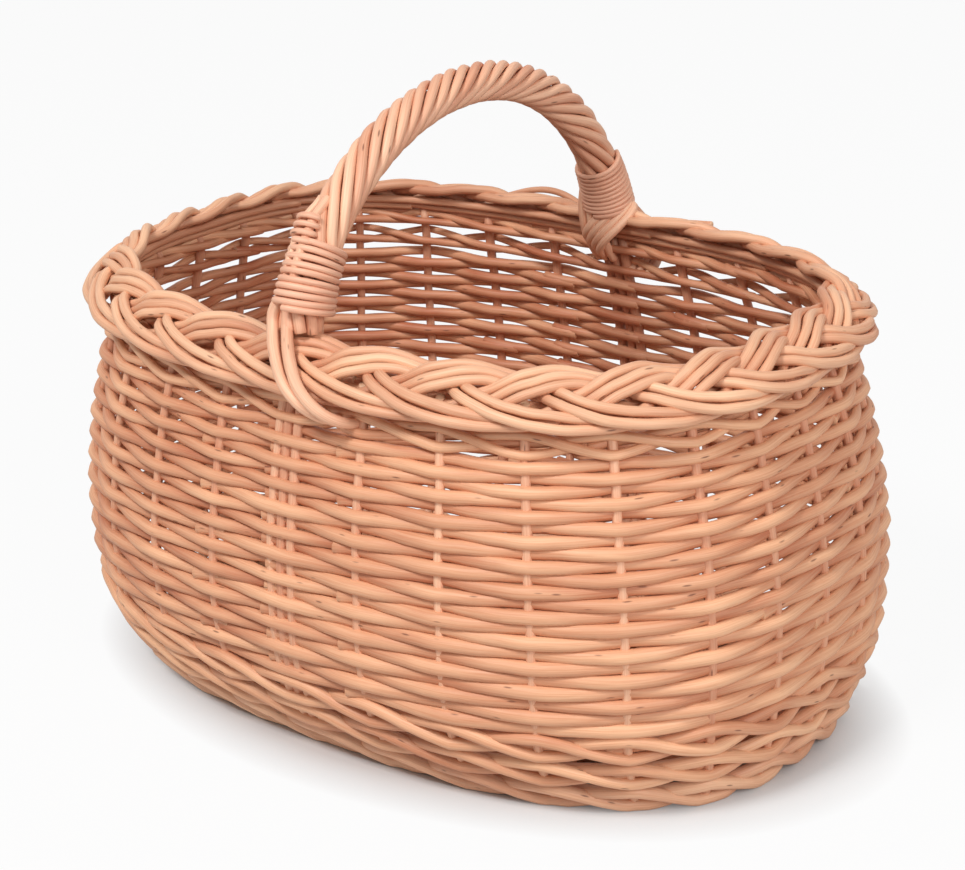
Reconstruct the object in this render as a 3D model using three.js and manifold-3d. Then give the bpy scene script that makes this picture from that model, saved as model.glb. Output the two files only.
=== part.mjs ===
// Market basket of buff willow, millimetres, +Z up.
// X runs along the basket, Y across it in line with the handle, z = 0 is the underside of the foot.
// Twenty-six stakes and two handle liners stand round an oval base. Randed rows pass in front of one
// upright and behind the next, walings pass in front of two and behind one, and the border on top is
// a three-strand plait. The roped handle sits astride the border and is bound at both shoulders.
import * as THREE from 'three';
import { mergeVertices } from 'three/addons/utils/BufferGeometryUtils.js';
import Module from 'manifold-3d';

// Driving dimensions
const CLEARANCE = 0.3;
const UPRIGHTS = 28;
const RAND_ROWS = 22;
const STRANDS = 3;

const PLAN_POWER = 2.7;
const RIM_HALF_LENGTH = 212;
const RIM_HALF_WIDTH = 148;
const NECK_END_INSET = 11;
const NECK_SIDE_INSET = 8.5;
const BELLY_END_BULGE = 8.5;
const BELLY_SIDE_BULGE = 10;
const FOOT_END_INSET = 9;
const FOOT_SIDE_INSET = 27;
const BELLY_HEIGHT = 85;
const TURN_UP_POWER = 2.4;
const NECK_POWER = 1.8;
const END_RISE = 5.5;
const SPACING_SPREAD = 10;

const STAKE_DIAMETER = 6;
const STAKE_BENDS = 6;
const STAKE_FOOT_HEIGHT = 3;
const WEAVER_DIAMETER = 5.55;
const WALE_DIAMETER = 5.1;
const UPPER_WALE_DIAMETER = 4.1;
const FOOT_ROD_DIAMETER = 5.7;
const CROSSING_ROOM = 0.6;
const FOOT_FLAT = 0.8;

const BORDER_WIDTH = 46;
const BORDER_TILT = 33 * Math.PI / 180;
const BORDER_INSET = 19;
const BORDER_ROD_DIAMETER = 5.5;
const BORDER_LIFT = 5.4;
const BORDER_STATIONS = 3;
const BORDER_SEAT = 2.5;
const STAKE_TOP_DIP = 4.7;
const LINER_TOP_DROP = 2.6;

const BASE_DROP = 2.7;
const BASE_MARGIN = 2.4;
const BASE_STICK_DIAMETER = 5;
const BASE_STICK_PITCH = 5.4;
const BASE_STICK_GAP = 4.6;
const BASE_CROSS_STICKS = 5;
const BASE_FAN_STICKS = 5;
const BASE_FAN = Math.PI / 6;
const BASE_ROD_DIAMETER = 4.1;
const BASE_ROUND_GAP = 0.7;
const BASE_ROUNDS = 10;
const BASE_DIP_ROOM = 24;

const HANDLE_INSET = 21;
const HANDLE_RISE = 114.5;
const HANDLE_SPRING_DROP = 20.5;
const HANDLE_END_LIFT = 5;
const HANDLE_CROWN_DIAMETER = 19.5;
const HANDLE_SHOULDER_DIAMETER = 23;
const HANDLE_RODS = 8;
const HANDLE_GROOVE = 1.5;
const HANDLE_TWIST = 1.2;
const HANDLE_STATIONS = 28;
const TAIL_DIAMETER = 5;
const OUTER_TAILS = 4;
const INNER_TAILS = 3;
const INNER_TAIL_DEPTH = 75;
const OUTER_TAIL_SEAT = 0.8;
const INNER_TAIL_STANDOFF = 0.5;
const LINER_RODS = 3;

const BINDING_DIAMETER = 3.1;
const BINDING_TURNS = 9;
const BINDING_GAP = 0.5;
const BINDING_STEPS = 12;
const BINDING_SIDES = 5;

// The wall and the handle take their size from the rim.
const NECK_HALF_LENGTH = RIM_HALF_LENGTH - NECK_END_INSET;
const NECK_HALF_WIDTH = RIM_HALF_WIDTH - NECK_SIDE_INSET;
const BELLY_HALF_LENGTH = RIM_HALF_LENGTH + BELLY_END_BULGE;
const BELLY_HALF_WIDTH = RIM_HALF_WIDTH + BELLY_SIDE_BULGE;
const FOOT_HALF_LENGTH = RIM_HALF_LENGTH - FOOT_END_INSET;
const FOOT_HALF_WIDTH = RIM_HALF_WIDTH - FOOT_SIDE_INSET;
const HANDLE_HALF_SPAN = RIM_HALF_WIDTH - HANDLE_INSET;

// Heights that follow from the rods stacked under them
const WALE_HALF_RISE = WALE_DIAMETER + CROSSING_ROOM;
const FOOT_HALF_RISE = FOOT_ROD_DIAMETER + CROSSING_ROOM;
const FOOT_CENTRE = FOOT_HALF_RISE + FOOT_ROD_DIAMETER / 2 - FOOT_FLAT;
const FOOT_TOP = FOOT_CENTRE + FOOT_HALF_RISE + FOOT_ROD_DIAMETER / 2;
const WALE_HEIGHT = 2 * WALE_HALF_RISE + WALE_DIAMETER;
const UPPER_WALE_HALF_RISE = UPPER_WALE_DIAMETER + CROSSING_ROOM;
const UPPER_WALE_HEIGHT = 2 * UPPER_WALE_HALF_RISE + UPPER_WALE_DIAMETER;
const LOWER_WALE_CENTRES = [0, 1].map((n) => FOOT_TOP + CLEARANCE + WALE_HEIGHT / 2
  + n * (WALE_HEIGHT + CLEARANCE));
const ROW_PITCH = WEAVER_DIAMETER + CLEARANCE;
const ROWS_BOTTOM = LOWER_WALE_CENTRES[1] + WALE_HEIGHT / 2 + CLEARANCE;
const FIRST_ROW = ROWS_BOTTOM + WEAVER_DIAMETER / 2;
const ROWS_TOP = FIRST_ROW + (RAND_ROWS - 1) * ROW_PITCH + WEAVER_DIAMETER / 2;
const UPPER_WALE_CENTRE = ROWS_TOP + CLEARANCE + UPPER_WALE_HEIGHT / 2;
const WALL_TOP = UPPER_WALE_CENTRE + UPPER_WALE_HEIGHT / 2;
const BASE_CENTRE = FOOT_TOP - BASE_DROP;

// The wall's stake line lies inside its outer face by one weaver and half a stake.
const STAKE_LINE_INSET = WEAVER_DIAMETER + CLEARANCE + STAKE_DIAMETER / 2;
const LINER_WIDTH = LINER_RODS * STAKE_DIAMETER;

// The border's underside slopes down outwards. Its dips fall between the waling's crests, and
// right above a stake the strand that crosses it dips less, so the stakes reach higher than the wall.
const BORDER_DIP = BORDER_LIFT + BORDER_ROD_DIAMETER / 2;
const BORDER_PATH_INSET = BORDER_INSET + NECK_HALF_WIDTH - RIM_HALF_WIDTH;
const underBorder = (inset, dip) => (BORDER_PATH_INSET - inset + dip * Math.sin(BORDER_TILT))
  * Math.tan(BORDER_TILT) + dip * Math.cos(BORDER_TILT);
const BORDER_CENTRE = WALL_TOP + CLEARANCE + underBorder(UPPER_WALE_DIAMETER / 2, BORDER_DIP) - BORDER_SEAT;
const STAKE_TOP = BORDER_CENTRE - CLEARANCE - underBorder(STAKE_LINE_INSET - STAKE_DIAMETER / 2, STAKE_TOP_DIP);
const RIM_HEIGHT = BORDER_CENTRE + BORDER_WIDTH / 2 * Math.sin(BORDER_TILT);

const wasm = await Module();
wasm.setup();

// Plan curve: a superellipse, run counter-clockwise from the middle of the front (-Y).
const signedPower = (value, power) => Math.sign(value) * Math.abs(value) ** power;

function planPoint(halfLength, halfWidth, angle) {
  return new THREE.Vector2(
    halfLength * signedPower(Math.cos(angle), 2 / PLAN_POWER),
    halfWidth * signedPower(Math.sin(angle), 2 / PLAN_POWER),
  );
}

function planNormal(halfLength, halfWidth, point) {
  return new THREE.Vector2(
    signedPower(point.x / halfLength, PLAN_POWER - 1) / halfLength,
    signedPower(point.y / halfWidth, PLAN_POWER - 1) / halfWidth,
  ).normalize();
}

// The neck's outline by arc length gives every upright its plan angle.
const ARC_SAMPLES = 4000;
const arcTable = [0];
for (let i = 1; i <= ARC_SAMPLES; i += 1) {
  const from = planPoint(NECK_HALF_LENGTH, NECK_HALF_WIDTH, -Math.PI / 2 + 2 * Math.PI * (i - 1) / ARC_SAMPLES);
  const to = planPoint(NECK_HALF_LENGTH, NECK_HALF_WIDTH, -Math.PI / 2 + 2 * Math.PI * i / ARC_SAMPLES);
  arcTable.push(arcTable[i - 1] + from.distanceTo(to));
}
const NECK_GIRTH = arcTable[ARC_SAMPLES];

function angleAtArc(arc) {
  const wanted = ((arc % NECK_GIRTH) + NECK_GIRTH) % NECK_GIRTH;
  let low = 0;
  let high = ARC_SAMPLES;
  while (high - low > 1) {
    const middle = (low + high) >> 1;
    if (arcTable[middle] <= wanted) low = middle;
    else high = middle;
  }
  const share = (wanted - arcTable[low]) / (arcTable[high] - arcTable[low]);
  return -Math.PI / 2 + 2 * Math.PI * (low + share) / ARC_SAMPLES;
}

// Uprights stand wider apart along the sides than round the ends.
function arcOfUpright(place) {
  return place * NECK_GIRTH / UPRIGHTS + SPACING_SPREAD * Math.sin(4 * Math.PI * place / UPRIGHTS);
}

// Half a measure of the outer wall at a height, straight between the bends of the stakes.
function smoothHalf(foot, belly, neck, height) {
  const below = Math.max(0, 1 - height / BELLY_HEIGHT);
  const above = Math.max(0, (height - BELLY_HEIGHT) / (WALL_TOP - BELLY_HEIGHT));
  return belly - (belly - foot) * below ** TURN_UP_POWER - (belly - neck) * above ** NECK_POWER;
}

const bendHeight = (bend) => WALL_TOP * bend / STAKE_BENDS;

function halfAt(foot, belly, neck, height) {
  const bend = Math.min(STAKE_BENDS - 1, Math.max(0, Math.floor(height / WALL_TOP * STAKE_BENDS)));
  const low = smoothHalf(foot, belly, neck, bendHeight(bend));
  const high = smoothHalf(foot, belly, neck, bendHeight(bend + 1));
  return low + (high - low) * (height - bendHeight(bend)) / (bendHeight(1) - bendHeight(0));
}

const halfLengthAt = (height) => halfAt(FOOT_HALF_LENGTH, BELLY_HALF_LENGTH, NECK_HALF_LENGTH, height);
const halfWidthAt = (height) => halfAt(FOOT_HALF_WIDTH, BELLY_HALF_WIDTH, NECK_HALF_WIDTH, height);

// The rim dips at the sides and rises at the ends, and the courses under it follow by their height.
const endRise = (x, height) => END_RISE * (x / RIM_HALF_LENGTH) ** 2 * height / WALL_TOP;

// A point on the stake line, moved outwards by a distance square to the leaning wall.
function wallPoint(arc, height, outwards) {
  const angle = angleAtArc(arc);
  const lineAt = (z) => planPoint(halfLengthAt(z) - STAKE_LINE_INSET, halfWidthAt(z) - STAKE_LINE_INSET, angle);
  const point = lineAt(height);
  const normal = planNormal(halfLengthAt(height) - STAKE_LINE_INSET, halfWidthAt(height) - STAKE_LINE_INSET, point);
  const lean = lineAt(height + 1).sub(lineAt(height - 1)).dot(normal) / 2;
  const shift = outwards * Math.hypot(1, lean);
  return {
    position: new THREE.Vector3(point.x + normal.x * shift, point.y + normal.y * shift,
      height + endRise(point.x, height)),
    outward: new THREE.Vector3(normal.x, normal.y, 0),
  };
}

// Closed rings of a section, joined along the path, as one BufferGeometry.
// A station has a position and two unit vectors, across and up, in the plane of its section.
function sweep(stations, section, closed) {
  const sides = section(stations[0], 0).length;
  const positions = [];
  stations.forEach((station, index) => {
    for (const [across, up] of section(station, index)) {
      const corner = station.position.clone()
        .addScaledVector(station.across, across)
        .addScaledVector(station.up, up);
      positions.push(corner.x, corner.y, corner.z);
    }
  });
  const faces = [];
  const spans = closed ? stations.length : stations.length - 1;
  for (let i = 0; i < spans; i += 1) {
    const next = (i + 1) % stations.length;
    for (let j = 0; j < sides; j += 1) {
      const k = (j + 1) % sides;
      faces.push(i * sides + j, i * sides + k, next * sides + k);
      faces.push(i * sides + j, next * sides + k, next * sides + j);
    }
  }
  if (!closed) {
    const last = (stations.length - 1) * sides;
    for (let j = 1; j < sides - 1; j += 1) {
      faces.push(0, j + 1, j);
      faces.push(last, last + j, last + j + 1);
    }
  }
  const geometry = new THREE.BufferGeometry();
  geometry.setAttribute('position', new THREE.Float32BufferAttribute(positions, 3));
  geometry.setIndex(faces);
  return outwardFacing(geometry);
}

function signedVolume(geometry) {
  const place = geometry.getAttribute('position');
  const index = geometry.getIndex();
  const corners = [new THREE.Vector3(), new THREE.Vector3(), new THREE.Vector3()];
  let total = 0;
  for (let i = 0; i < index.count; i += 3) {
    corners.forEach((corner, n) => corner.fromBufferAttribute(place, index.getX(i + n)));
    total += corners[0].dot(corners[1].clone().cross(corners[2])) / 6;
  }
  return total;
}

function outwardFacing(geometry) {
  if (signedVolume(geometry) > 0) return geometry;
  const index = geometry.getIndex();
  for (let i = 0; i < index.count; i += 3) {
    const first = index.getX(i);
    index.setX(i, index.getX(i + 1));
    index.setX(i + 1, first);
  }
  return geometry;
}

const roundSection = (diameter, sides, turn = 0) => Array.from({ length: sides }, (unused, n) => {
  const angle = turn + 2 * Math.PI * n / sides;
  return [diameter / 2 * Math.cos(angle), diameter / 2 * Math.sin(angle)];
});

// Booleans on closed geometries
function solidOf(geometry) {
  const bare = geometry.clone();
  bare.deleteAttribute('normal');
  bare.deleteAttribute('uv');
  const merged = mergeVertices(bare, 1e-5);
  return new wasm.Manifold(new wasm.Mesh({
    numProp: 3,
    vertProperties: new Float32Array(merged.getAttribute('position').array),
    triVerts: new Uint32Array(merged.getIndex().array),
  }));
}

function geometryOf(solid) {
  const mesh = solid.getMesh();
  const geometry = new THREE.BufferGeometry();
  geometry.setAttribute('position', new THREE.BufferAttribute(new Float32Array(mesh.vertProperties), 3));
  geometry.setIndex(new THREE.BufferAttribute(new Uint32Array(mesh.triVerts), 1));
  return geometry;
}

const joined = (geometries) => geometryOf(geometries.map(solidOf).reduce((sum, next) => sum.add(next)));
const cut = (geometry, tool) => geometryOf(solidOf(geometry).subtract(solidOf(tool)));

// Materials in the willow's own colours
const willow = (colour, roughness) => new THREE.MeshStandardMaterial({ color: colour, roughness, metalness: 0 });
const stakeWillow = willow(0xcf9a78, 0.62);
const weaverWillow = willow(0xd19d7c, 0.6);
const borderWillow = willow(0xdba887, 0.55);
const baseWillow = willow(0xb98565, 0.66);
const handleWillow = willow(0xd8a07e, 0.52);
const bindingWillow = willow(0xd19a80, 0.5);

const basket = new THREE.Group();

function addPiece(name, geometry, material) {
  const faceted = geometry.toNonIndexed();
  faceted.computeVertexNormals();
  const mesh = new THREE.Mesh(faceted, material);
  mesh.name = name;
  basket.add(mesh);
}

const twoDigits = (number) => String(number).padStart(2, '0');

// Uprights 0 and 14, in the middle of the sides, are the handle's liners.
const isLiner = (place) => (place * 2) % UPRIGHTS === 0;

// Stakes: one willow rod each, bent at the same heights as the wall
function uprightStations(place) {
  const arc = arcOfUpright(place);
  const heights = [STAKE_FOOT_HEIGHT];
  for (let bend = 1; bend < STAKE_BENDS; bend += 1) heights.push(bendHeight(bend));
  heights.push(isLiner(place) ? STAKE_TOP - LINER_TOP_DROP : STAKE_TOP);
  return heights.map((height) => {
    const { position, outward } = wallPoint(arc, height, 0);
    return {
      position,
      across: new THREE.Vector3(-outward.y, outward.x, 0),
      up: outward,
    };
  });
}

const stakeSection = roundSection(STAKE_DIAMETER, 6);

// Liner: three rods side by side, as wide as the weavers part round them
function linerSection() {
  const half = LINER_WIDTH / 2;
  const thick = STAKE_DIAMETER / 2;
  const groove = thick - 0.9;
  const outer = [];
  for (let rod = 0; rod < LINER_RODS; rod += 1) {
    const middle = -half + (rod + 0.5) * STAKE_DIAMETER;
    outer.push([middle, thick]);
    if (rod < LINER_RODS - 1) outer.push([middle + STAKE_DIAMETER / 2, groove]);
  }
  const mirrored = outer.map(([across, up]) => [-across, -up]);
  return [[-half, 0], ...outer, [half, 0], ...mirrored];
}

for (let place = 0; place < UPRIGHTS; place += 1) {
  const stations = uprightStations(place);
  if (isLiner(place)) {
    addPiece(place === 0 ? 'handle_liner_front' : 'handle_liner_back',
      sweep(stations, linerSection, false), stakeWillow);
  } else {
    addPiece(`stake_${twoDigits(place)}`, sweep(stations, () => stakeSection, false), stakeWillow);
  }
}

// Where a course meets each upright: once at a stake, twice at a liner
const courseStops = [];
for (let place = 0; place < UPRIGHTS; place += 1) {
  const arc = arcOfUpright(place);
  const reach = (LINER_WIDTH - STAKE_DIAMETER) / 2;
  const arcs = isLiner(place) ? [arc - reach, arc + reach] : [arc];
  arcs.forEach((stop) => courseStops.push({ place, arc: stop }));
}

// A course is a closed run of stops, each with the distance that it has to keep from the stake line.
// Where it leaves the stop at a slant, it stands off further by as much as the slant brings it nearer.
function courseStations(stops) {
  const placed = (stop, outwards) => ({ ...wallPoint(stop.arc, stop.height, outwards) });
  const first = stops.map((stop) => placed(stop, stop.outwards));
  return stops.map((stop, n) => {
    const here = first[n];
    const tangent = new THREE.Vector3(-here.outward.y, here.outward.x, 0);
    const neighbours = [first[(n + 1) % first.length], first[(n + first.length - 1) % first.length]];
    const leastCosine = Math.min(...neighbours.map(({ position }) => {
      const way = position.clone().sub(here.position).setZ(0).normalize();
      return Math.abs(way.dot(tangent));
    }));
    const { position, outward } = placed(stop, stop.outwards / leastCosine);
    return { position, across: outward, up: new THREE.Vector3(0, 0, 1) };
  });
}

// Randed rows: in front of one upright, behind the next, and the other way round in the next row
const weaverSection = roundSection(WEAVER_DIAMETER, 4);
const WEAVER_SHIFT = (STAKE_DIAMETER + WEAVER_DIAMETER) / 2 + CLEARANCE;
for (let row = 0; row < RAND_ROWS; row += 1) {
  const height = FIRST_ROW + row * ROW_PITCH;
  const stations = courseStations(courseStops.map(({ place, arc }) => ({
    arc, height, outwards: (place + row) % 2 === 0 ? WEAVER_SHIFT : -WEAVER_SHIFT,
  })));
  addPiece(`rand_row_${twoDigits(row + 1)}`, sweep(stations, () => weaverSection, true), weaverWillow);
}

// Waling: three rods that pass in front of two uprights and behind one, each a place ahead of the
// last. With 28 uprights each rod runs on into the next, so the course is one rod of three rounds.
function waling(centre, halfRise, diameter) {
  const shift = (STAKE_DIAMETER + diameter) / 2 + CLEARANCE;
  const section = roundSection(diameter, 4);
  const stops = [];
  for (let round = 0; round < STRANDS; round += 1) {
    for (const { place, arc } of courseStops) {
      const phase = (place + round * UPRIGHTS) % STRANDS;
      const outwards = phase === 0 ? -shift : shift;
      const lift = [0, halfRise, -halfRise][phase];
      stops.push({ arc, height: centre + lift, outwards });
    }
  }
  return sweep(courseStations(stops), () => section, true);
}

LOWER_WALE_CENTRES.forEach((centre, n) => {
  addPiece(`lower_wale_${n + 1}`, waling(centre, WALE_HALF_RISE, WALE_DIAMETER), weaverWillow);
});
addPiece('upper_wale', waling(UPPER_WALE_CENTRE, UPPER_WALE_HALF_RISE, UPPER_WALE_DIAMETER), weaverWillow);

// Foot border, cut flat where the basket stands
const footSlab = new THREE.BoxGeometry(3 * RIM_HALF_LENGTH, 3 * RIM_HALF_LENGTH, RIM_HALF_WIDTH);
footSlab.translate(0, 0, -RIM_HALF_WIDTH / 2);
addPiece('foot_border', cut(waling(FOOT_CENTRE, FOOT_HALF_RISE, FOOT_ROD_DIAMETER), footSlab), borderWillow);

// Border: a plait of three strands on a ribbon that tilts outwards round the rim.
// Across the ribbon a strand swings once in three uprights, and it dips twice, over and under.
const SWING = (BORDER_WIDTH - (STRANDS - 0.5) * BORDER_ROD_DIAMETER) / 2;
function plaitPoint(course) {
  const angle = angleAtArc(arcOfUpright(course % UPRIGHTS));
  const halfLength = RIM_HALF_LENGTH - BORDER_INSET;
  const halfWidth = RIM_HALF_WIDTH - BORDER_INSET;
  const plan = planPoint(halfLength, halfWidth, angle);
  const normal = planNormal(halfLength, halfWidth, plan);
  const inward = new THREE.Vector3(-normal.x * Math.cos(BORDER_TILT), -normal.y * Math.cos(BORDER_TILT),
    Math.sin(BORDER_TILT));
  const face = new THREE.Vector3(normal.x * Math.sin(BORDER_TILT), normal.y * Math.sin(BORDER_TILT),
    Math.cos(BORDER_TILT));
  const phase = 2 * Math.PI * course / STRANDS;
  const position = new THREE.Vector3(plan.x, plan.y, BORDER_CENTRE + endRise(plan.x, WALL_TOP))
    .addScaledVector(inward, SWING * Math.sin(phase))
    .addScaledVector(face, BORDER_LIFT * Math.sin(2 * phase));
  return { position, face, phase };
}

function plaitStation(course) {
  const step = 0.01;
  const { position, face, phase } = plaitPoint(course);
  const along = plaitPoint(course + step).position
    .sub(plaitPoint(course + STRANDS * UPRIGHTS - step).position).normalize();
  const across = face.clone().cross(along).normalize();
  return { position, across, up: along.clone().cross(across), phase };
}

// Three rods side by side on the way in, two on the way out
function strandSection({ phase }) {
  const rods = STRANDS - 0.5 + 0.5 * Math.cos(phase);
  const half = rods * BORDER_ROD_DIAMETER / 2;
  const thick = BORDER_ROD_DIAMETER / 2;
  const flat = half - thick;
  return [[-half, 0], [-flat, -thick], [flat, -thick], [half, 0], [flat, thick], [-flat, thick]];
}

const plaitStations = [];
for (let n = 0; n < UPRIGHTS * STRANDS * BORDER_STATIONS; n += 1) {
  plaitStations.push(plaitStation(n / BORDER_STATIONS));
}
addPiece('border_plait', sweep(plaitStations, strandSection, true), borderWillow);

// Base: sticks crossed in the middle and fanned out at both ends. Two rods side by side are wound
// round them from the middle outwards, over one stick and under the next.
const BASE_EDGE_GAP = STAKE_LINE_INSET + STAKE_DIAMETER / 2 + BASE_MARGIN;
const baseHalfLength = halfLengthAt(BASE_CENTRE) - BASE_EDGE_GAP;
const baseHalfWidth = halfWidthAt(BASE_CENTRE) - BASE_EDGE_GAP;
const BASE_SPINE = baseHalfLength - baseHalfWidth;

// A spoke leaves the base's long middle line at x. Its angle is from that line's end on one side.
const spoke = (x, side, angle) => ({
  foot: new THREE.Vector2(x, 0),
  way: new THREE.Vector2(side * Math.cos(angle), Math.sin(angle)),
});

const crossStickPlace = (n) => BASE_SPINE * (1 - 2 * n / (BASE_CROSS_STICKS - 1));

// Spokes, counter-clockwise: the fan at the right end, the back, the fan at the left end, the front
function baseSpokes() {
  const spokes = [];
  for (const side of [1, -1]) {
    for (let n = 0; n < BASE_FAN_STICKS; n += 1) {
      spokes.push(spoke(side * BASE_SPINE, side, side * (n - (BASE_FAN_STICKS - 1) / 2) * BASE_FAN));
    }
    for (let n = 0; n < BASE_CROSS_STICKS; n += 1) {
      spokes.push(spoke(side * crossStickPlace(n), 1, side * Math.PI / 2));
    }
  }
  return spokes;
}

// The end of the stick on a spoke, just inside the wall
function stickTip({ foot, way }) {
  let low = 0;
  let high = baseHalfLength;
  while (high - low > 0.01) {
    const middle = (low + high) / 2;
    const x = Math.abs((foot.x + way.x * middle) / baseHalfLength);
    const y = Math.abs((foot.y + way.y * middle) / baseHalfWidth);
    if (x ** PLAN_POWER + y ** PLAN_POWER < 1) low = middle;
    else high = middle;
  }
  return foot.clone().addScaledVector(way, low - BASE_STICK_GAP);
}

function baseStick(corners) {
  const section = roundSection(BASE_STICK_DIAMETER, 6, Math.PI / 6);
  return sweep(corners.map((corner, n) => {
    const before = corners[Math.max(0, n - 1)];
    const after = corners[Math.min(corners.length - 1, n + 1)];
    const along = after.clone().sub(before).normalize();
    return {
      position: new THREE.Vector3(corner.x, corner.y, BASE_CENTRE),
      across: new THREE.Vector3(-along.y, along.x, 0),
      up: new THREE.Vector3(0, 0, 1),
    };
  }), () => section, false);
}

// The outer long sticks and a second cross stick at each end bend where they meet their spokes.
function baseSticks() {
  const straight = Math.PI / 2;
  const longBend = BASE_SPINE + BASE_STICK_PITCH / Math.tan(BASE_FAN);
  const crossBend = BASE_STICK_PITCH * Math.tan(2 * BASE_FAN);
  const rods = [[stickTip(spoke(-BASE_SPINE, -1, 0)), stickTip(spoke(BASE_SPINE, 1, 0))]];
  for (let n = 0; n < BASE_CROSS_STICKS; n += 1) {
    const x = crossStickPlace(n);
    rods.push([stickTip(spoke(x, 1, -straight)), stickTip(spoke(x, 1, straight))]);
  }
  for (const side of [-1, 1]) {
    const y = side * BASE_STICK_PITCH;
    rods.push([stickTip(spoke(-BASE_SPINE, -1, side * BASE_FAN)), new THREE.Vector2(-longBend, y),
      new THREE.Vector2(longBend, y), stickTip(spoke(BASE_SPINE, 1, side * BASE_FAN))]);
    const x = side * (BASE_SPINE + BASE_STICK_PITCH);
    rods.push([stickTip(spoke(side * BASE_SPINE, side, -2 * BASE_FAN)), new THREE.Vector2(x, -crossBend),
      new THREE.Vector2(x, crossBend), stickTip(spoke(side * BASE_SPINE, side, 2 * BASE_FAN))]);
  }
  return joined(rods.map(baseStick));
}

// Where spokes are too close for the rods to dip between them, the rods pass them on the same side.
// They also stay on their side at the back's middle stick, so each round lies opposite to the last.
function baseWeave() {
  const spokes = baseSpokes();
  const width = 2 * BASE_ROD_DIAMETER;
  const section = roundSection(BASE_ROD_DIAMETER, 4).map(([across, up]) => [2 * across, up]);
  const start = BASE_STICK_PITCH + (BASE_STICK_DIAMETER + width) / 2 + CLEARANCE;
  const stops = [];
  let side = 1;
  for (let n = 0; n <= BASE_ROUNDS * spokes.length; n += 1) {
    const { foot, way } = spokes[n % spokes.length];
    const place = foot.clone().addScaledVector(way, start + n / spokes.length * (width + BASE_ROUND_GAP));
    const staysOn = foot.x === 0 && way.y > 0;
    if (n > 0 && !staysOn && place.distanceTo(stops[n - 1].place) > BASE_DIP_ROOM) side = -side;
    stops.push({ place, way, side });
  }
  const rise = (BASE_STICK_DIAMETER + BASE_ROD_DIAMETER) / 2 + CLEARANCE;
  return sweep(stops.map(({ place, way, side: over }, n) => {
    const dips = [stops[n - 1], stops[n + 1]].filter((next) => next && next.side !== over);
    const steepest = Math.max(0, ...dips.map((next) => 2 * rise / next.place.distanceTo(place)));
    return {
      position: new THREE.Vector3(place.x, place.y, BASE_CENTRE + over * rise * Math.hypot(1, steepest)),
      across: new THREE.Vector3(way.x, way.y, 0),
      up: new THREE.Vector3(0, 0, 1),
    };
  }), () => section, false);
}

addPiece('base_sticks', baseSticks(), baseWillow);
addPiece('base_weave', baseWeave(), baseWillow);

// Handle: eight rods roped round a core, on an arch across the middle of the basket
const SPRING_HEIGHT = RIM_HEIGHT - HANDLE_SPRING_DROP;
const HANDLE_END_ANGLE = Math.asin((HANDLE_SPRING_DROP + HANDLE_END_LIFT) / HANDLE_RISE);
const archPoint = (angle) => new THREE.Vector3(0, -HANDLE_HALF_SPAN * Math.cos(angle),
  SPRING_HEIGHT + HANDLE_RISE * Math.sin(angle));
const archAlong = (angle) => new THREE.Vector3(0, HANDLE_HALF_SPAN * Math.sin(angle),
  HANDLE_RISE * Math.cos(angle)).normalize();
const archDiameter = (angle) => HANDLE_CROWN_DIAMETER
  + (HANDLE_SHOULDER_DIAMETER - HANDLE_CROWN_DIAMETER) * Math.cos(angle) ** 2;
const sideways = new THREE.Vector3(1, 0, 0);

function archStation(angle) {
  const along = archAlong(angle);
  return { position: archPoint(angle), across: sideways, up: along.clone().cross(sideways), angle };
}

function ropedBow() {
  const stations = [];
  for (let n = 0; n <= HANDLE_STATIONS; n += 1) {
    stations.push(archStation(HANDLE_END_ANGLE + (Math.PI - 2 * HANDLE_END_ANGLE) * n / HANDLE_STATIONS));
  }
  return sweep(stations, ({ angle }) => {
    const twist = -HANDLE_TWIST * 2 * Math.PI * angle / Math.PI;
    return Array.from({ length: 2 * HANDLE_RODS }, (unused, corner) => {
      const radius = archDiameter(angle) / 2 - (corner % 2) * HANDLE_GROOVE;
      const turn = twist + Math.PI * corner / HANDLE_RODS;
      return [radius * Math.cos(turn), radius * Math.sin(turn)];
    });
  }, false);
}

// Tails: the roping rods' ends, brought down over the border outside and inside.
// A route is in steps out from the rim's edge and up from its height.
const endDistance = HANDLE_HALF_SPAN * Math.cos(HANDLE_END_ANGLE) - RIM_HALF_WIDTH;
const wallFace = (drop, outside) => {
  const face = halfWidthAt(RIM_HEIGHT - drop) - RIM_HALF_WIDTH;
  const room = TAIL_DIAMETER / 2 * Math.SQRT1_2 + CLEARANCE;
  return outside ? face + room - OUTER_TAIL_SEAT : face - 2 * STAKE_LINE_INSET - room - INNER_TAIL_STANDOFF;
};
const outerRoute = [
  [endDistance + 6, HANDLE_END_LIFT + 2],
  [endDistance + 7.5, HANDLE_END_LIFT - 1],
  [-9, -0.5],
  [-0.5, -7.5],
  [5.5, -15],
  [6, -22.5],
  [wallFace(31, true) + 2, -31],
  [wallFace(38, true), -38],
];
const innerRoute = [
  [endDistance - 6, HANDLE_END_LIFT + 2],
  [endDistance - 7.5, HANDLE_END_LIFT - 1],
  [-42, -2.5],
  [-42, -9],
  [wallFace(24, false) - 1.5, -24],
  [wallFace(40, false), -40],
  [wallFace(58, false), -58],
  [wallFace(INNER_TAIL_DEPTH, false), -INNER_TAIL_DEPTH],
];

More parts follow.
